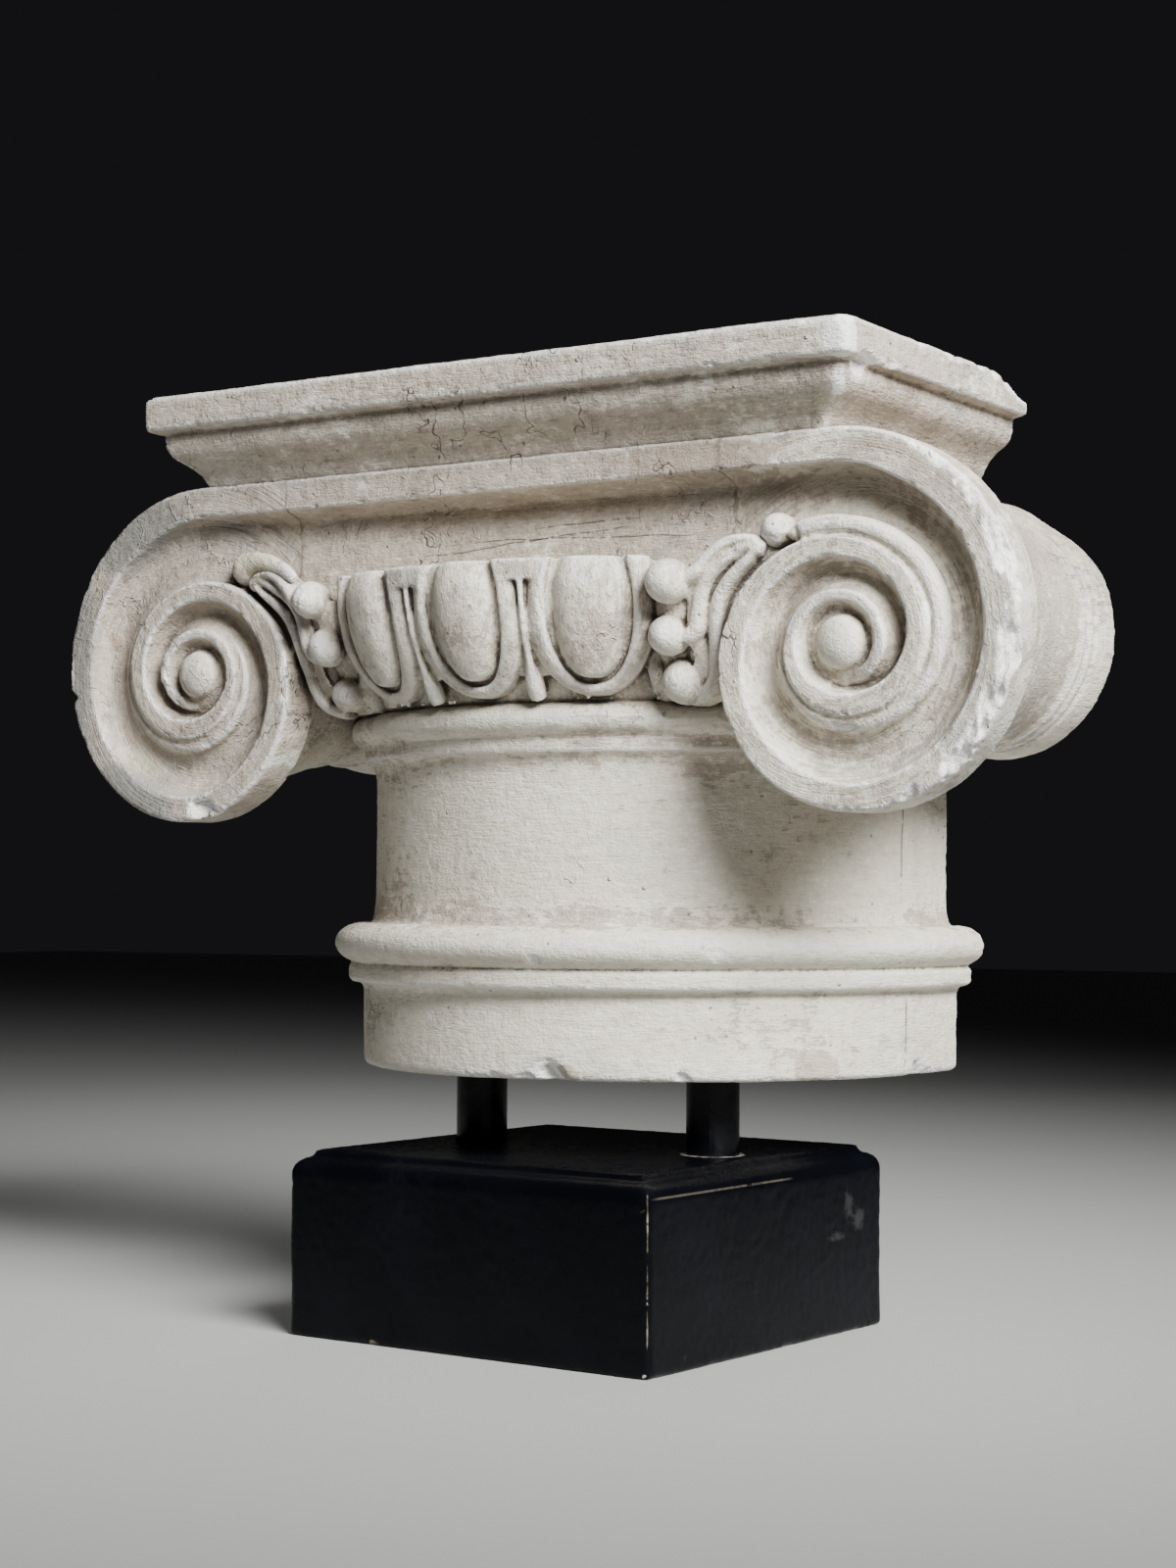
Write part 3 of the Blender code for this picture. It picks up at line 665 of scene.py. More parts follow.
class GeometryTree(Tree):
    """A geometry nodes tree with named inputs, run on an object and kept as its plain mesh."""

    def __init__(self, name, inputs):
        super().__init__(bpy.data.node_groups.new(name, "GeometryNodeTree"))
        face = self.group.interface
        face.new_socket("Geometry", in_out="INPUT", socket_type="NodeSocketGeometry")
        self.ids = {label: face.new_socket(label, in_out="INPUT", socket_type="NodeSocket" + kind).identifier
                    for label, kind in inputs.items()}
        face.new_socket("Geometry", in_out="OUTPUT", socket_type="NodeSocketGeometry")
        self.start = self.add("NodeGroupInput")
        self.geometry = self.start.outputs["Geometry"]

    def finish(self, geometry):
        self.add("NodeGroupOutput", {0: geometry})

    def given(self, label):
        return Value(self, self.start.outputs[label])

    def shape_of(self, label):
        """Geometry of an object that is given."""
        return self.add("GeometryNodeObjectInfo", {"Object": self.given(label)}).outputs["Geometry"]

    def known(self, name):
        """What every point knows of itself: its position, normal or index."""
        return self.out("GeometryNodeInput" + name)

    def keep(self, geometry, name, value):
        """Store a number on every point."""
        return self.out("GeometryNodeStoreNamedAttribute", {"Geometry": geometry, "Name": name, "Value": value},
                        data_type="FLOAT", domain="POINT")

    def blurred(self, value, rounds, kind="FLOAT_VECTOR"):
        return self.out("GeometryNodeBlurAttribute", {"Value": value, "Iterations": rounds}, data_type=kind)

    def run(self, target, **given):
        reshape(target, "NODES", {"node_group": self.group}, {self.ids[label]: given[label] for label in given})


def reshape(target, kind, settings, given=()):
    """Change an object's shape by one modifier and keep the result as its plain mesh."""
    change = target.modifiers.new(kind, kind)
    for name, value in settings.items():
        setattr(change, name, value)
    for name in given:
        change[name] = given[name]
    bpy.context.view_layer.update()
    shape = bpy.data.meshes.new_from_object(target.evaluated_get(bpy.context.evaluated_depsgraph_get()))
    target.modifiers.clear()
    old = target.data
    target.data = shape
    bpy.data.meshes.remove(old)


def thin(target, triangles):
    """Bring a skin down to a number of triangles, keeping them where the shape bends."""
    target.data.calc_loop_triangles()
    reshape(target, "DECIMATE", {"ratio": min(triangles / len(target.data.loop_triangles), 1.0)})


def points_of(mesh):
    flat = np.empty(len(mesh.vertices) * 3, np.float32)
    mesh.vertices.foreach_get("co", flat)
    return flat.reshape(-1, 3).astype(float) / MM


def lay(target, name, values):
    """Store a number, or a set of three, on every point."""
    values = np.asarray(values, np.float32)
    kind, field = ("FLOAT", "value") if values.ndim == 1 else ("FLOAT_VECTOR", "vector")
    target.data.attributes.new(name, kind, "POINT").data.foreach_set(field, values.ravel())


# ---- wear
# Clouds stored on the skin: name, scale, detail, roughness, warp and shift
CLOUDS = (("broad", 9.0, 3.0, 0.55, 0.3, 0.0), ("cloud", 34.0, 4.0, 0.62, 0.4, 2.0),
          ("cool", 13.0, 3.0, 0.6, 0.5, 15.0), ("crazed", 22.0, 3.0, 0.6, 0.0, 21.0))
RAYS = 14
RAY_REACH = 70.0
CREVICE_REACH = 14.0


def wear_tree():
    """Softens the skin, measures its edges and creases, and wears, dents and pits it."""
    tree = GeometryTree("wear", {"Rounding": "Int", "Edge reach": "Int", "Form reach": "Int",
                                 "Waviness": "Float", "Nicks": "Float", "Seed": "Float"})
    noise, place, normal = tree.noise, tree.known("Position"), tree.known("Normal")
    skin = tree.out("GeometryNodeSetPosition",
                    {"Geometry": tree.geometry, "Position": tree.blurred(place, tree.given("Rounding"))})
    for name, reach in (("edge", "Edge reach"), ("form", "Form reach")):
        inward = tree.vector("SUBTRACT", place, tree.blurred(place, tree.given(reach)))
        skin = tree.keep(skin, name, tree.dot(inward, normal) * (1.0 / MM))
    for name, *cloud in CLOUDS:
        skin = tree.keep(skin, name, noise(place, *cloud))
    seed, nicks = tree.given("Seed"), tree.given("Nicks")
    moved = tree.vector("ADD", place, tree.out("ShaderNodeCombineXYZ", {0: seed, 1: seed}))
    edge = tree.value("GeometryNodeInputNamedAttribute", {"Name": "edge"}, data_type="FLOAT").rise(0.16, 0.5)

    wave = noise(moved, 14.0, 2.0) * 1.5 + noise(moved, 60.0, shift=3.1) * 0.7 - 1.1
    tooth = noise(moved, 230.0, 2.0, shift=5.2) * 0.45 - 0.225
    rub = edge * noise(moved, 38.0, shift=7.7).rise(0.3, 0.75) * -0.6
    nick = edge * noise(moved, 130.0, 2.0, shift=1.3).rise(0.58, 0.64)
    chip = edge * noise(moved, 46.0, 4.0, 0.65, shift=9.4).rise(0.60, 0.64)
    pit = tree.specks(moved, 95.0, (0.15, 0.06), 0.96, 0)
    crumb = tree.specks(tree.vector("ADD", moved, (4.0, 1.0, 2.0)), 130.0, (0.17, 0.06), 0.95, 1)
    height = (wave * tree.given("Waviness") + tooth + rub
              + (crumb * 0.6 - nick * 0.5 - chip * 1.1 - pit * 0.9) * nicks)
    skin = tree.out("GeometryNodeSetPosition",
                    {"Geometry": skin, "Offset": tree.scaled(normal, height * MM)})
    skin = tree.keep(skin, "chipped", (nick * 0.5 + chip).clamped() * nicks)
    tree.finish(tree.keep(skin, "pitted", pit * nicks))
    return tree


def shelter_tree():
    """Measures how closed in every point is, by rays sent out to the whole cast."""
    tree = GeometryTree("shelter", {"Cast": "Object"})
    place, normal, whole = tree.known("Position"), tree.known("Normal"), tree.shape_of("Cast")
    origin = tree.vector("ADD", place, tree.scaled(normal, 0.8 * MM))
    near = far = 0.0
    for step in range(RAYS):
        lift = 1.0 - 2.0 * (step + 0.5) / RAYS
        turn = step * pi * (3.0 - 5.0 ** 0.5)
        flat = 0.94 * (1.0 - lift * lift) ** 0.5
        aim = tree.vector("ADD", normal, (flat * cos(turn), flat * sin(turn), 0.94 * lift))
        ray = tree.add("GeometryNodeRaycast", {"Target Geometry": whole, "Source Position": origin,
                                                     "Ray Direction": aim, "Ray Length": RAY_REACH * MM})
        hit = Value(tree, ray.outputs["Is Hit"])
        reach = Value(tree, ray.outputs["Hit Distance"]) * (1.0 / MM)
        far = far + hit * (1.0 - reach * (1.0 / RAY_REACH))
        near = near + hit * (1.0 - reach * (1.0 / CREVICE_REACH)).clamped()
    skin = tree.keep(tree.geometry, "shelter", tree.blurred(far * (1.0 / RAYS), 2, "FLOAT"))
    tree.finish(tree.keep(skin, "crevice", tree.blurred(near * (1.0 / RAYS), 1, "FLOAT")))
    return tree


# ---- brush directions: where each point lies across and along the strokes
STROKE = 7.0


def level_strokes(points):
    """Strokes drawn level along the front, the sides and the column."""
    return points / (STROKE, STROKE, 1.0)


def upright_strokes(points):
    """Strokes drawn up and down the eggs."""
    return points / (1.0, 1.0, STROKE)


def scroll_strokes(points):
    """Strokes that wind round each eye and run level along the band between them."""
    x, _, z = points.T
    side, rise = np.abs(x) - EYE_X, z - EYE_Z
    reach = np.maximum(np.hypot(side, rise), 1.0)
    wound = stack(2.2 * side / reach, 2.2 * rise / reach + 10.0 * np.sign(x), reach)
    return np.where(np.abs(x)[:, None] > 120.0, wound, level_strokes(points))


# ---- paints
class Paint(Tree):
    """A material: its tree, its shader and the places on the piece it reads."""

    def __init__(self, name, refraction, shine):
        self.material = bpy.data.materials.new(name)
        self.material.use_nodes = True
        super().__init__(self.material.node_tree)
        self.group.nodes.clear()
        self.shader = self.add("ShaderNodeBsdfPrincipled", {"IOR": refraction, "Specular IOR Level": shine})
        self.add("ShaderNodeOutputMaterial", {"Surface": self.shader.outputs[0]})
        self.place = self.wobbled = self.add("ShaderNodeTexCoord").outputs["Object"]

    def stored(self, name):
        return Value(self, self.add("ShaderNodeAttribute", attribute_name=name).outputs["Fac"])

    def over(self, share, below, above):
        """One colour laid over another where share is 1."""
        return self.add("ShaderNodeMix", {0: share, 6: below, 7: above}, data_type="RGBA").outputs[2]

    def scored(self, plane, start, end, width):
        """A fine scored line between two places, seen square to a plane."""
        start, end = (Vector(a * b for a, b in zip(place, plane)) * MM for place in (start, end))
        away = self.vector("SUBTRACT", self.vector("MULTIPLY", self.wobbled, plane), tuple(start))
        gone = self.dot(away, tuple((end - start).normalized()))
        off = self.dot(away, away) - gone * gone
        reach = (end - start).length
        return (off * (1.0 / (width * MM) ** 2)).rise(1.0, 0.2) * gone.rise(0.0, 0.01) * gone.rise(reach, reach - 0.01)

    def finish(self, colour, roughness, height):
        bump = self.out("ShaderNodeBump", {"Height": height, "Distance": MM, "Strength": 1.0})
        for socket, value in (("Base Color", colour), ("Roughness", roughness), ("Normal", bump)):
            self.plug(self.shader.inputs[socket], value)
        return self.material


def tint(red, green, blue):
    """A paint's colour as shown on a screen, turned into light."""
    return tuple(((value / 255 + 0.055) / 1.055) ** 2.4 for value in (red, green, blue)) + (1.0,)


CHALK = tint(224, 217, 200)
BLUSH = tint(190, 178, 164)
ASH = tint(184, 184, 178)
DULL = tint(140, 139, 133)
DUSK = tint(142, 130, 117)
GRIME_AND_SHADE = tint(106, 96, 86)
SOOT_AND_DEEP_SHADE = tint(60, 53, 47)
BARE = tint(250, 249, 246)
RUST = tint(150, 108, 72)
CREAM = tint(222, 212, 180)
TAN = tint(176, 160, 144)

# Scored lines and seams: the plane they are seen square to, both ends, and half width
FACE_ON, SIDE_ON = (1.0, 0.0, 1.0), (0.0, 1.0, 1.0)
SCORES = ((FACE_ON, (-48, 0, 368), (70, 0, 375.5), 0.45), (FACE_ON, (-20, 0, 374), (104, 0, 369), 0.4),
          (FACE_ON, (14, 0, 377.5), (78, 0, 379.5), 0.4), (FACE_ON, (64, 0, 433.5), (64.6, 0, 450.5), 0.7),
          (SIDE_ON, (0, 51, 203), (0, 53, 271), 0.7), (SIDE_ON, (0, 45, 124), (0, 46, 166), 0.7))


def plaster_paint():
    """Chalky paint in several coats over plaster: strokes, grime and painted shade in the hollows, bare edges and
    painted highlights on the crests.
    """
    paint = Paint("painted_plaster", 1.45, 0.35)
    place, over, noise, stored = paint.place, paint.over, paint.noise, paint.stored
    shake = paint.add("ShaderNodeTexNoise", {"Vector": place, "Scale": 40.0, "Detail": 2.0})
    paint.wobbled = paint.vector("ADD", place, paint.scaled(shake.outputs["Color"], 0.004))
    strokes = paint.add("ShaderNodeAttribute", attribute_name="stroke").outputs["Vector"]
    edge, cloud, broad, soil = (stored(name) for name in ("edge", "cloud", "broad", "soil"))
    fine = noise(place, 210.0, 3.0, 0.7, 0.0, 4.0)
    grit = noise(place, 850.0, 1.0, 0.6, 0.0, 6.0)
    drag = noise(strokes, 1.1, 3.0, 0.68, 0.0, 11.0)
    sweep = noise(strokes, 0.3, 3.0, 0.62, 0.3, 27.0)

    # Coats: white over a warm undercoat, cooler where it was touched up
    bared = (broad * 0.5 + cloud * 0.35 + sweep * 0.25 + fine * 0.3 + drag * 0.2 + soil * 0.34).rise(0.90, 0.95)
    colour = over(bared * 0.8, CHALK, BLUSH)
    cool = (stored("cool") + fine * 0.2 + drag * 0.25).rise(0.765, 0.865)
    colour = over(cool * (soil * 0.5 + 0.2).clamped(), colour, ASH)
    tone = drag * 0.6 + fine * 0.8 + grit * 0.4 + cloud * 0.6 + sweep * 0.5 - 1.45
    colour = over(tone.rise(-0.1, 0.4) * (soil * 0.7 + 0.34), colour, DUSK)
    colour = over(tone.rise(-0.06, -0.36) * 0.6, colour, BARE)

    # Grime and painted shade: darker paint where the cast is closed in, for the dirt that gathers where hands and
    # dusters do not reach and for the shade that falls there
    hollow = stored("form").rise(-0.3, -4.0)
    grime_and_painted_shade = (stored("shelter") * 1.25 + hollow * 0.25 + soil * 0.45 + cloud * 0.6 + tone * 0.6).rise(0.5, 1.3)
    colour = over(grime_and_painted_shade * 0.42, colour, DUSK)
    # Grime and painted shade in creases and crevices, darkest in the deepest
    dark = (stored("crevice") * 1.25 + edge.rise(-0.08, -0.5) * 0.45 + tone * 0.4).rise(0.34, 0.9)
    colour = over(dark * (soil * 0.3 + 0.6), colour, GRIME_AND_SHADE)
    colour = over(dark.rise(0.6, 1.0) * 0.5, colour, SOOT_AND_DEEP_SHADE)

    # Rubbed crests, lightened both as paint worn through and as painted highlight, and broken places
    rubbed_and_highlit = edge.rise(0.10, 0.42) * (fine * 0.6 + cloud * 0.6).rise(0.44, 0.62)
    colour = over(rubbed_and_highlit * 0.5, colour, BARE)
    colour = over((stored("chipped") * 1.4 + fine * 0.6).rise(0.7, 0.9) * 0.9, colour, BARE)
    inside = over(grit.rise(0.5, 0.7) * 0.35 + cloud.rise(0.5, 0.6) * 0.3, BARE, TAN)
    colour = over((stored("knocked") + fine * 0.8).rise(0.75, 0.9), colour, inside)
    # Specks and pinholes
    speck = paint.specks(place, 190.0, (0.2, 0.08), 0.965, 0)
    colour = over((speck + stored("pitted")).clamped() * 0.65, colour, SOOT_AND_DEEP_SHADE)
    # Marks that belong to one place
    ragged = fine * 0.7 + cloud * 0.5 - 0.6
    for name, mark, strength, low, high, _ in MARKS:
        share = stored(name)
        colour = over((share * 1.6 + ragged).rise(low, high) * share.rise(0.0, 0.08) * strength, colour, mark)

    # Relief too fine to model: cracks, scored lines, and curls of thick paint that dried proud
    crack = noise(paint.vector("MULTIPLY", place, (1.0, 1.0, 0.62)), 30.0, 3.0, 0.66, 0.0, 31.0)
    hair = noise(strokes, 0.13, 3.0, 0.6, 0.4, 17.0).line(0.008, 0.001)
    hair = hair * cool.rise(0.2, 0.9) * (soil * 1.3).clamped()
    crack = (crack.line(0.007, 0.001) * stored("crazed") + hair * 0.7).clamped()
    scored = sum(paint.scored(*score) for score in SCORES) * fine.rise(0.36, 0.5)
    colour = over((crack * 0.6 + scored * 0.75).clamped(), colour, SOOT_AND_DEEP_SHADE)
    curl = noise(place, 52.0, 2.0, 0.5, 0.3, 43.0).line(0.012, 0.003)
    curl = curl * (cloud * 0.7 + broad * 0.6).rise(0.70, 0.76) * fine.rise(0.4, 0.6)
    colour = over(curl * 0.2, colour, BARE)
    crumb = paint.specks(place, 150.0, (0.16, 0.06), 0.955, 1)
    height = ((drag * 0.8 + fine * 1.2) * (soil * 0.8 + 0.55) + sweep * 0.4 + grit * 0.3 - crack * 0.9
              - bared * 0.35 + rubbed_and_highlit * 0.15 + curl * 0.8 + crumb * 1.4)
    return paint.finish(colour, fine * 0.2 + grime_and_painted_shade * 0.25 + 0.46, height)


def black_paint(name, streak, shine):
    """Satin black paint with brush drag, dust, small scuffs, edges rubbed through, and a faint painted highlight along
    one arris.
    """
    paint = Paint(name, 1.5, shine)
    place, over, noise = paint.place, paint.over, paint.noise
    worn, knocked, ringed = (paint.stored(name) for name in ("worn", "knocked", "ring"))
    drag = noise(paint.vector("MULTIPLY", place, streak), 60.0, 3.0, 0.6)
    cloud = noise(place, 24.0, 4.0, 0.62, 0.4, 3.0)
    fine = noise(place, 260.0, 3.0, 0.6, 0.0, 5.0)
    colour = over(cloud.rise(0.42, 0.7) * 0.6, tint(5, 6, 10), tint(10, 12, 18))
    dust = (cloud * 0.5 + drag * 0.5 + fine * 0.6).rise(0.86, 1.16)
    colour = over(dust * 0.04, colour, tint(60, 59, 58))
    # Lines of paint rubbed through, one partly a painted highlight along the top arris
    rubbed_and_highlit = sum(paint.scored((1.0, 1.0, 1.0), *line) * share for *line, share in RUBBED_AND_HIGHLIT)
    rubbed_and_highlit = rubbed_and_highlit * (fine * 0.8 + cloud * 0.6).rise(0.5, 0.72)
    colour = over(rubbed_and_highlit.clamped(), colour, tint(188, 172, 152))
    scuffed = (worn + fine * 1.2 + cloud * 1.6).rise(1.7, 2.3) * worn.rise(0.0, 0.3)
    colour = over(scuffed * 0.07, colour, tint(150, 150, 150))
    through = (knocked + cloud * 1.2 + fine * 1.2).rise(1.8, 2.05) * knocked.rise(0.0, 0.15)
    ring = (ringed * 1.1 + cloud * 2.2 + fine).rise(2.05, 2.3) * ringed.rise(0.0, 0.2)
    wood = over(fine.rise(0.42, 0.6), tint(150, 134, 116), tint(214, 208, 198))
    colour = over((through + ring).clamped() * 0.8, colour, wood)
    roughness = drag * 0.25 + fine * 0.16 + dust * 0.3 + 0.065
    return paint.finish(colour, roughness, drag * 0.1 + fine * 0.05 + cloud * 0.15)


# ---- knocks
# Place, direction the break faces, reach and depth of each knock
KNOCKS = (
    (-259.5, -86, 298, -1, -0.5, 0.1, 8, 3.4), (-258, -84, 305, -1, -0.3, 0.6, 5, 2),
    (-172, -87, 251, 0.1, -0.7, -1, 8, 3), (-163, -87, 247.5, 0.1, -0.7, -1, 5, 2),
    (104, -60, 180, 0.6, -0.8, -0.4, 5, 2), (36, -80, 124, 0.2, -1, -0.6, 12, 4.4),
    (27, -81, 124, 0.2, -1, -0.6, 8, 3), (88, -55, 124.5, 0.5, -0.8, -0.7, 7, 3),
    (147.8, 60, 125, 1, -0.1, -0.8, 11, 4.4), (14, -81.5, 124, 0.1, -1, -0.9, 6, 2.2),
    (2, -82, 124, 0, -1, -0.9, 5, 2), (-12, -82, 124, 0, -1, -0.9, 7, 2.2),
    (28, -93, 177, 0.2, -0.9, -0.6, 3.6, 1), (193.3, 77, 450, 0.6, 0.6, 0.9, 30, 9.5),
    (193.3, -84, 433, 0.35, -0.2, -1, 10, 2.6), (193.3, -75, 433, 0.5, 0.3, -1, 8, 2.2),
    (193.3, -34, 450, 0.7, 0, 1, 5, 1.2), (193.3, -8, 450, 0.7, 0.1, 1, 6, 1.6),
    (193.3, 6, 450, 0.7, -0.2, 1, 7, 1.4), (193.3, 24, 450, 0.7, 0.3, 1, 6, 2),
    (193.3, 38, 450, 0.7, 0.2, 1, 7, 2.2), (193.3, 50, 450, 0.7, 0.4, 1, 8, 2.8),
    (193.3, -64, 433, 0.9, 0, -0.8, 5, 2.2), (192.5, -106, 448, 0.7, -0.7, 0.8, 9, 2.4))

# How wide the broken edge of the right scroll is, at bearings from its top in degrees
BROKEN_BEARINGS = (8, 24, 50, 75, 100, 125, 150, 172, 205)
BROKEN_WIDTHS = (0.0, 2.0, 4.2, 5.6, 6.2, 5.4, 4.2, 2.2, 0.0)


def raggedness(points, rng):
    """An uneven number at every point, as a broken surface is uneven."""
    ragged = 0.0
    for length, share in ((26.0, 0.3), (11.0, 0.26), (5.0, 0.22), (3.0, 0.12)):
        for wave in rng.normal(0, 1.0, (3, 3)):
            ragged = ragged + share * np.sin(points @ (unit(wave) * 2 * pi / length) + rng.uniform(0, 2 * pi))
    return ragged


def break_edge(points, bare):
    """Break a ragged bevel off the right scroll's outer edge."""
    x, y, z = points.T
    rng = np.random.default_rng(11)
    turn = np.arctan2(x - EYE_X, z - EYE_Z) % (2 * pi)
    inside = edge_radius(turn) - np.hypot(x - EYE_X, z - EYE_Z)
    chosen = (turn < radians(BROKEN_BEARINGS[-1])) & (np.abs(inside - 5.0) < 9.0) & (x > 100.0) & (y < FACE_Y + 14.0)
    turn, inside, depth = turn[chosen], inside[chosen], y[chosen] - FACE_Y
    ragged = np.clip(1.0 + raggedness(points[chosen], rng), 0.12, 1.7)
    width = ragged * np.interp(np.degrees(turn), BROKEN_BEARINGS, BROKEN_WIDTHS)
    push = np.clip(0.62 * width - 0.7 * (inside + depth), 0, 6.0)
    points[chosen] += push[:, None] * stack(-np.sin(turn), 1.0, -np.cos(turn)) * 0.7
    bare[chosen] = np.maximum(bare[chosen], ramp(push, 0, 0.35))


def knock(target, knocks, seed):
    """Break pieces off: points beyond each break are pressed back to it."""
    points = points_of(target.data)
    bare = np.zeros(len(points))
    rng = np.random.default_rng(seed)
    for *place, x, y, z, reach, depth in knocks:
        facing = unit(np.array((x, y, z), float))
        away = points - place
        near = np.linalg.norm(away, axis=1) < reach
        away = away[near]
        tilt = rng.normal(0, 0.25, 3)
        beyond = away @ (facing + tilt - facing * (facing @ tilt)) + depth + 1.2 * raggedness(away, rng)
        push = np.clip(beyond, 0, None) * ramp(np.linalg.norm(away, axis=1), reach, 0.78 * reach)
        points[near] -= push[:, None] * facing
        bare[near] = np.maximum(bare[near], ramp(push, 0, 0.5))
    if target.name == "scrolls":
        break_edge(points, bare)
    target.data.vertices.foreach_set("co", (points * MM).astype(np.float32).ravel())
    lay(target, "knocked", bare)
    target.data.update()


# ---- marks of one place
def nearness(points, places):
    """1 in the middle of each place, 0 from its reach on; a place is a centre and a reach along x y z."""
    share = np.zeros(len(points))
    for place in places:
        centre, reach = np.reshape(place, (2, 3))
        share = np.maximum(share, 1.0 - np.linalg.norm((points - centre) / reach, axis=1))
    return share


def under_rim(points):
    """How close each point lies under the rim, over the top of the right scroll's hollow, where a shadow is painted.
    """
    x, y, z = points.T
    side, rise = x - EYE_X, z - EYE_Z
    bearing = np.arctan2(side, rise)
    turn = np.clip(bearing, 0, pi)
    below = edge_radius(turn) - by_quarter(RIM_WIDTHS, turn) - np.where(side > 0, np.hypot(side, rise), rise)
    ends = ramp(side, -62.0, -12.0) * ramp(bearing, radians(88), radians(48))
    return np.exp(-((below - 5.0) / 8.0) ** 2) * ends * (y > FACE_Y + 1.5) * (y < RIM_BACK_Y)


# Name, colour, strength, the share it starts and ends at, and its places or the rule that finds them
MARKS = (
    ("rusty", RUST, 0.5, 0.42, 0.8, ((-238, -70, 336, 9, 14, 16), (-236, -70, 350, 8, 14, 9))),
    ("creamy", CREAM, 0.6, 0.3, 0.7, ((-246, -76, 318, 12, 16, 44), (-226, -76, 270, 34, 16, 14),
                                      (-138, -88, 367, 24, 16, 11))),
    ("tanned", TAN, 0.7, 0.42, 0.62, ((66, -102.5, 329, 3.6, 12, 8), (231, -20, 372, 34, 70, 30),
                                      (110, -86, 398, 60, 12, 12), (34, -80, 126, 15, 12, 8),
                                      (128, -10, 130, 16, 20, 10))),
    ("dulled", DULL, 0.85, 0.1, 0.9, ((-262, -86, 322, 30, 18, 84), (-222, -86, 388, 56, 18, 30),
                                      (-228, -86, 254, 50, 18, 30))),
    # A painted shadow in grime colour in the right scroll's hollow under its rim
    ("grimed", GRIME_AND_SHADE, 0.45, 0.1, 1.0, under_rim),
    ("whitened", BARE, 0.95, 0.42, 0.6, (
        (192, -106, 438, 16, 12, 20), (186, -96, 414, 12, 16, 14), (-123.5, -86, 332, 4.2, 6, 4.4),
        (-121.4, -86, 301, 3.4, 6, 3.4), (-121.6, -86, 316, 1.6, 5, 15), (-14.5, -106.7, 437, 4, 3, 1.6),
        (233, -86, 268, 5, 3, 3), (104, -58, 182, 4, 6, 3), (218, -84, 324, 3.4, 6, 9),
        (-258, -86, 318, 2.4, 8, 16))))


# ---- the five sections of the cast
def fill_scrolls(heap):
    heap.loft(scroll_face(0.0))
    heap.loft(mirrored(scroll_face(0.32)))
    heap.loft(bead(BEAD_START, (1.0, 2.0, 2.4, 3.2, 4.6)))
    heap.loft(mirrored(bead(LEFT_BEAD_START, (8.0, 4.6, 2.8, 3.2, 4.6))))
    heap.both_sides(ellipsoid((EYE_X, FACE_Y + 5.0, EYE_Z), (EYE_RADIUS, 8.0, EYE_RADIUS)))
    heap.both_sides(ellipsoid((EYE_X, FACE_Y + 12.0, EYE_Z), (21.0, 8.4, 21.0)))
    # The knobs, the left one with a lobe, and their short necks
    heap.loft(ellipsoid((145.4, FACE_Y + 8.0, 364.9), (7.8, 10.6, 7.9)))
    heap.loft(ellipsoid((-147.0, FACE_Y + 8.0, 365.4), (9.4, 10.6, 8.6)))
    heap.loft(tube([(-147, -80.5, 366.4), (-136, -84.5, 367.6), (-126, -87, 365.6), (-117, -89, 361.6),
                    (-111, -90, 357.6)], [7.6, 5.4, 4.6, 3.6, 2.4], 24))
    heap.both_sides(tube([(147.5, FACE_Y + 10.0, 364.4), (150.2, FACE_Y + 10.2, 364.6),
                          (151.4, FACE_Y + 10.6, 364.7)], [7.4, 6.9, 5.6], 24, 1.2))


def fill_rolls(heap):
    """The rolls, and the plain block between them."""
    heap.both_sides(roll())
    side, front = EYE_X - 11.0, RIM_BACK_Y - 4.0
    plan_x, plan_y = (-side, side, side, -side), (front, front, UPPER_BACK, UPPER_BACK)
    heap.loft([stack(plan_x, plan_y, level) for level in (ECHINUS_TOP - 11.0, ARRIS + 2.0)])


def fill_carving(heap):
    heap.loft(echinus_bed())
    for part in spray(RIGHT_BALLS):
        heap.loft(part)
    for part in spray(LEFT_BALLS):
        heap.loft(mirrored(part))
    tree = row_tree()
    heap.add(*row_of(tree, (egg(), shell(), backing()), EGG_COUNT, plaster))
    heap.add(*row_of(tree, darts(), EGG_COUNT - 1, plaster))
    # Crumbs of plaster left in the joint under the eggs
    rng = np.random.default_rng(8)
    for angle in rng.uniform(-0.62, 0.55, 16):
        size = rng.uniform(0.8, 1.7)
        middle = on_column(angle, 156.5 + rng.uniform(-1.5, 1.5), 295.6)
        heap.loft(ellipsoid(middle, (size, size, size * 0.8), 8, 10))


def soil_of_abacus(points):
    """Soiled most under the fascia on the right side."""
    x, _, z = points.T
    return 0.6 - 0.2 * ramp(x, -60.0, -160.0) + 0.3 * (x > 165.0) * (z < FASCIA)


def soil_of_band(points):
    """More in the middle of the band than round the eyes."""
    x, _, z = points.T
    eye = np.hypot(np.abs(x) - EYE_X, z - EYE_Z) < EYE_RADIUS
    return 0.4 + 0.16 * ramp(np.abs(x), 130.0, 90.0) + 0.2 * (x < -100.0) - 0.4 * eye


def soil_of_rolls(points):
    """Dust has settled on top of the rolls."""
    return 0.22 + 0.78 * ramp(points[:, 2], 330.0, 360.0)


def soil_of_neck(points):
    """Clean but for the ledges above the torus and below the astragal."""
    x, _, z = points.T
    above_torus = np.exp(-((z - TORUS_TOP - 3.0) / 7.0) ** 2)
    below_fillet = np.exp(-((z - NECK_TOP) / 14.0) ** 2)
    return 0.06 + 0.4 * above_torus + 0.3 * below_fillet + 0.16 * ramp(x, 70.0, 130.0) * (z < DRUM_TOP)


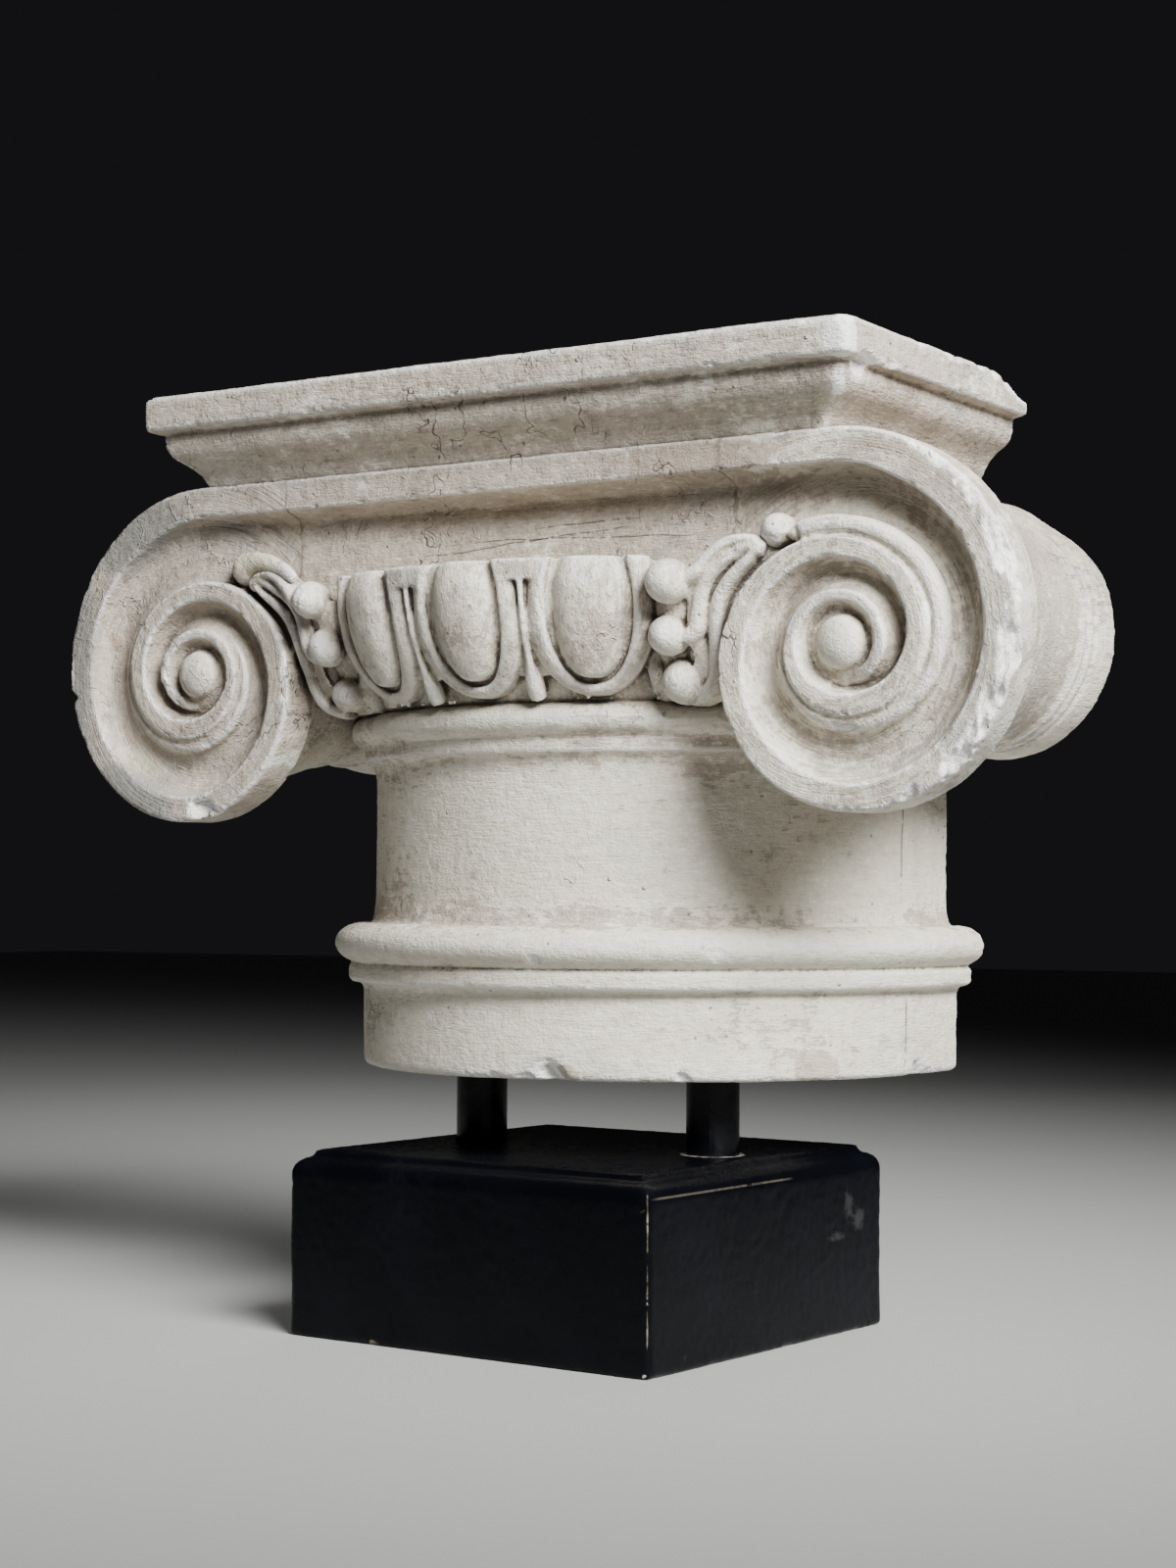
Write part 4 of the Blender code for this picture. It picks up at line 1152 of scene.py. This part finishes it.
# Name, filling, strokes, soil, grain, triangles, waviness, nicks and crazing of each section
SECTIONS = (("abacus", lambda heap: heap.loft(abacus()), level_strokes, soil_of_abacus, 1.0, 120000, 1.0, 1.0, 1.0),
            ("scrolls", fill_scrolls, scroll_strokes, soil_of_band, 0.85, 190000, 0.8, 1.0, 0.9),
            ("rolls", fill_rolls, level_strokes, soil_of_rolls, 1.0, 120000, 1.0, 0.8, 0.5),
            ("carving", fill_carving, upright_strokes, lambda points: 0.28, 0.75, 190000, 0.4, 0.5, 0.0),
            ("neck", lambda heap: heap.loft(column()), level_strokes, soil_of_neck, 1.0, 150000, 0.7, 0.6, 0.0))
COARSENESS = 1.0
# Rounds of blurring at a grain of 1 mm that tell an edge and the wider form from flat ground
EDGE_ROUNDS = 10
FORM_ROUNDS = 60
CRAZED_CLOUD = (0.52, 0.59)
CRAZED_HALF_WIDTH = 140.0


def cast(name, fill, strokes, soil, grain, triangles, waviness, nicks, crazing, knocks, wear, seed):
    """One section: filled, fused, knocked, worn, thinned, and ready for paint."""
    heap = Heap()
    fill(heap)
    section = heap.object(name)
    grain *= COARSENESS
    reshape(section, "REMESH", {"mode": "VOXEL", "voxel_size": grain * MM})
    knock(section, knocks, 5 + seed)
    wear.run(section, **{"Rounding": 1, "Edge reach": round(EDGE_ROUNDS / grain ** 2),
                         "Form reach": round(FORM_ROUNDS / grain ** 2),
                         "Waviness": waviness, "Nicks": nicks, "Seed": 0.37 * seed})
    thin(section, triangles)
    points = points_of(section.data)
    crazed = section.data.attributes["crazed"].data
    share = np.empty(len(points), np.float32)
    crazed.foreach_get("value", share)
    share = ramp(share, *CRAZED_CLOUD) * crazing * (np.abs(points[:, 0]) < CRAZED_HALF_WIDTH)
    crazed.foreach_set("value", share.astype(np.float32))
    lay(section, "soil", np.broadcast_to(soil(points), len(points)))
    lay(section, "stroke", strokes(points))
    for mark, *_, places in MARKS:
        lay(section, mark, places(points) if callable(places) else nearness(points, places))
    return section


def cast_capital(wear):
    """The five sections, each told how closed in it is by all of them."""
    shelter = shelter_tree()
    sections = [cast(*section, KNOCKS, wear, number) for number, section in enumerate(SECTIONS)]
    whole = put("whole", bpy.data.meshes.new("whole"))
    gather = bmesh.new()
    for section in sections:
        gather.from_mesh(section.data)
    gather.to_mesh(whole.data)
    gather.free()
    for section in sections:
        shelter.run(section, Cast=whole)
    bpy.data.objects.remove(whole)
    return sections


# ---- plinth
def on_plinth(x, y, z):
    """A place on the plinth, which stands turned a little against the capital."""
    return (x * cos(PLINTH_TURN) - y * sin(PLINTH_TURN), x * sin(PLINTH_TURN) + y * cos(PLINTH_TURN), z)


def fill_plinth(heap):
    """The painted block: a body, an ovolo, a quirk and a flat top, its edges eased."""
    profile = [(0.8, 0.0), (0.2, 0.3), (0.0, 1.0), (0.0, 76.2), (0.3, 76.9)]
    profile += [(0.4 + 6.3 * (1 - cos(turn)), 77.0 + 6.3 * sin(turn)) for turn in np.radians(np.linspace(10, 90, 8))]
    profile += [(7.6, 83.4), (8.0, 84.0), (8.0, 86.2), (8.3, 86.8), (9.2, 87.0)]
    rings = []
    for inset, level in profile:
        ring = []
        for side_x, side_y, start in ((1, -1, -90), (1, 1, 0), (-1, 1, 90), (-1, -1, 180)):
            for turn in np.radians(np.linspace(start, start + 90, 5)):
                ring.append(on_plinth(side_x * (PLINTH_HALF[0] - inset - 1.0) + cos(turn),
                                      side_y * (PLINTH_HALF[1] - inset - 1.0) + sin(turn), level))
        rings.append(ring)
    heap.loft(rings)


# Knocks, scuffed places and rubbed lines, the lines with half width and strength; the faint line along the right
# face's top arris is partly a painted highlight
PLINTH_KNOCKS = [(*on_plinth(*knock[:3]), *knock[3:]) for knock in (
    (103, -99.5, 75.5, 1, -1, 0.6, 3.4, 0.8), (103, -99.5, 50, 1, -1, 0, 3, 0.4),
    (103, -99.5, 30, 1, -1, 0.1, 3.4, 0.5), (103, -99.5, 14, 1, -1, 0, 3.6, 0.6),
    (103, -99.5, 1, 1, -1, -1, 3.4, 0.9), (-103, -99.5, 68, -1, -1, 0, 4, 0.5),
    (-50, -99.5, 0.5, 0, -1, -0.8, 5, 0.5))]
SCUFFS = [(*on_plinth(*scuff[:3]), *scuff[3:]) for scuff in (
    (103.5, 68, 62, 5, 8, 13), (103.5, 77, 53, 5, 8, 9), (103.5, 56, 46, 5, 22, 4))]
RUBBED_AND_HIGHLIT = [(on_plinth(*start), on_plinth(*end), width, share) for start, end, width, share in (
    ((102.8, -99.3, 0), (102.8, -99.3, 76), 1.1, 0.75), ((103, -98, 76.9), (103, 20, 76.9), 0.7, 0.12),
    ((97.5, -99.5, 70.5), (102.8, -99.5, 73.5), 0.5, 0.9), ((102, -99, 79), (103, -99.4, 70), 0.9, 1.2),
    ((-102.8, -99.3, 64.5), (-102.8, -99.3, 71.5), 1.4, 1.4), ((-30, -99.5, 0.4), (60, -99.5, 0.4), 0.7, 0.5),
    ((95, -91.5, 87), (95, -70, 87), 0.6, 0.4), ((60, -91.5, 87), (95, -91.5, 87), 0.6, 0.4))]


def cast_plinth(wear):
    plinth = cast("plinth_block", fill_plinth, level_strokes, lambda points: 0.0, 1.2, 90000, 0.12, 0.12, 0.0,
                  PLINTH_KNOCKS, wear, 9)
    points = points_of(plinth.data)
    lay(plinth, "worn", nearness(points, SCUFFS))
    x, y, z = (points - on_plinth(*ROD_FOOT)).T
    lay(plinth, "ring", ramp(np.abs(np.hypot(x, y) - ROD_RING), 2.4, 0) * (np.abs(z) < 2.0))
    return plinth


def dress(piece, node, paint):
    """Give a finished piece its paint and its place in the frame, and hide the node it stands for."""
    for face in piece.data.polygons:
        face.use_smooth = True
    piece.data.materials.clear()
    piece.data.materials.append(paint)
    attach(piece, "root")
    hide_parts(node)


plaster = plaster_paint()
wear = wear_tree()
for section in cast_capital(wear):
    dress(section, "capital", plaster)
dress(cast_plinth(wear), "plinth", black_paint("plinth_black", (0.12, 0.12, 1.0), 0.1))
rod_black = black_paint("rod_black", (1.0, 1.0, 0.1), 0.5)
for name in ("rod_left", "rod_right"):
    for slot in bpy.data.objects[name].material_slots:
        slot.material = rod_black


# ---- studio
def softbox(name, bearing, rise, reach, size, spread, energy):
    """A soft lamp turned to the capital's middle, from a bearing and a rise in degrees."""
    lamp = put(name, bpy.data.lights.new(name, "AREA"))
    bearing, rise = radians(bearing), radians(rise)
    aim = Vector((cos(rise) * sin(bearing), -cos(rise) * cos(bearing), sin(rise)))
    lamp.location = aim * reach + Vector((0.0, 0.0, 0.28))
    lamp.rotation_euler = (-aim).to_track_quat("-Z", "Y").to_euler()
    lamp.data.shape = "RECTANGLE"
    lamp.data.size, lamp.data.size_y = size
    lamp.data.spread = radians(spread)
    lamp.data.energy = energy
    return lamp


def studio():
    scene = bpy.context.scene
    scene.camera = put("camera", bpy.data.cameras.new("camera"))
    scene.camera.location = Vector((716.4, -1121.2, 208.5)) * MM
    scene.camera.rotation_euler = (radians(92.256), radians(-0.21), radians(32.64))
    scene.camera.data.lens = 63.43
    scene.camera.data.sensor_width = 36.0
    mesh = bpy.data.meshes.new("floor")
    mesh.from_pydata([(-6, -6, 0), (6, -6, 0), (6, 6, 0), (-6, 6, 0)], [], [(0, 1, 2, 3)])
    pale = bpy.data.materials.new("floor")
    pale.use_nodes = True
    shader = pale.node_tree.nodes["Principled BSDF"].inputs
    shader["Base Color"].default_value = (0.42, 0.425, 0.41, 1)
    shader["Roughness"].default_value = 0.8
    mesh.materials.append(pale)
    put("floor", mesh)
    softbox("softbox", 62, 33, 1.8, (1.15, 0.72), 52, 14.0)
    fill = softbox("fill", 200, 14, 2.2, (1.6, 1.0), 50, 2.6)
    fill.visible_camera = fill.visible_glossy = False
    scene.world = bpy.data.worlds.new("studio")
    scene.world.use_nodes = True
    scene.world.node_tree.nodes["Background"].inputs["Color"].default_value = (0.009, 0.009, 0.01, 1)


studio()
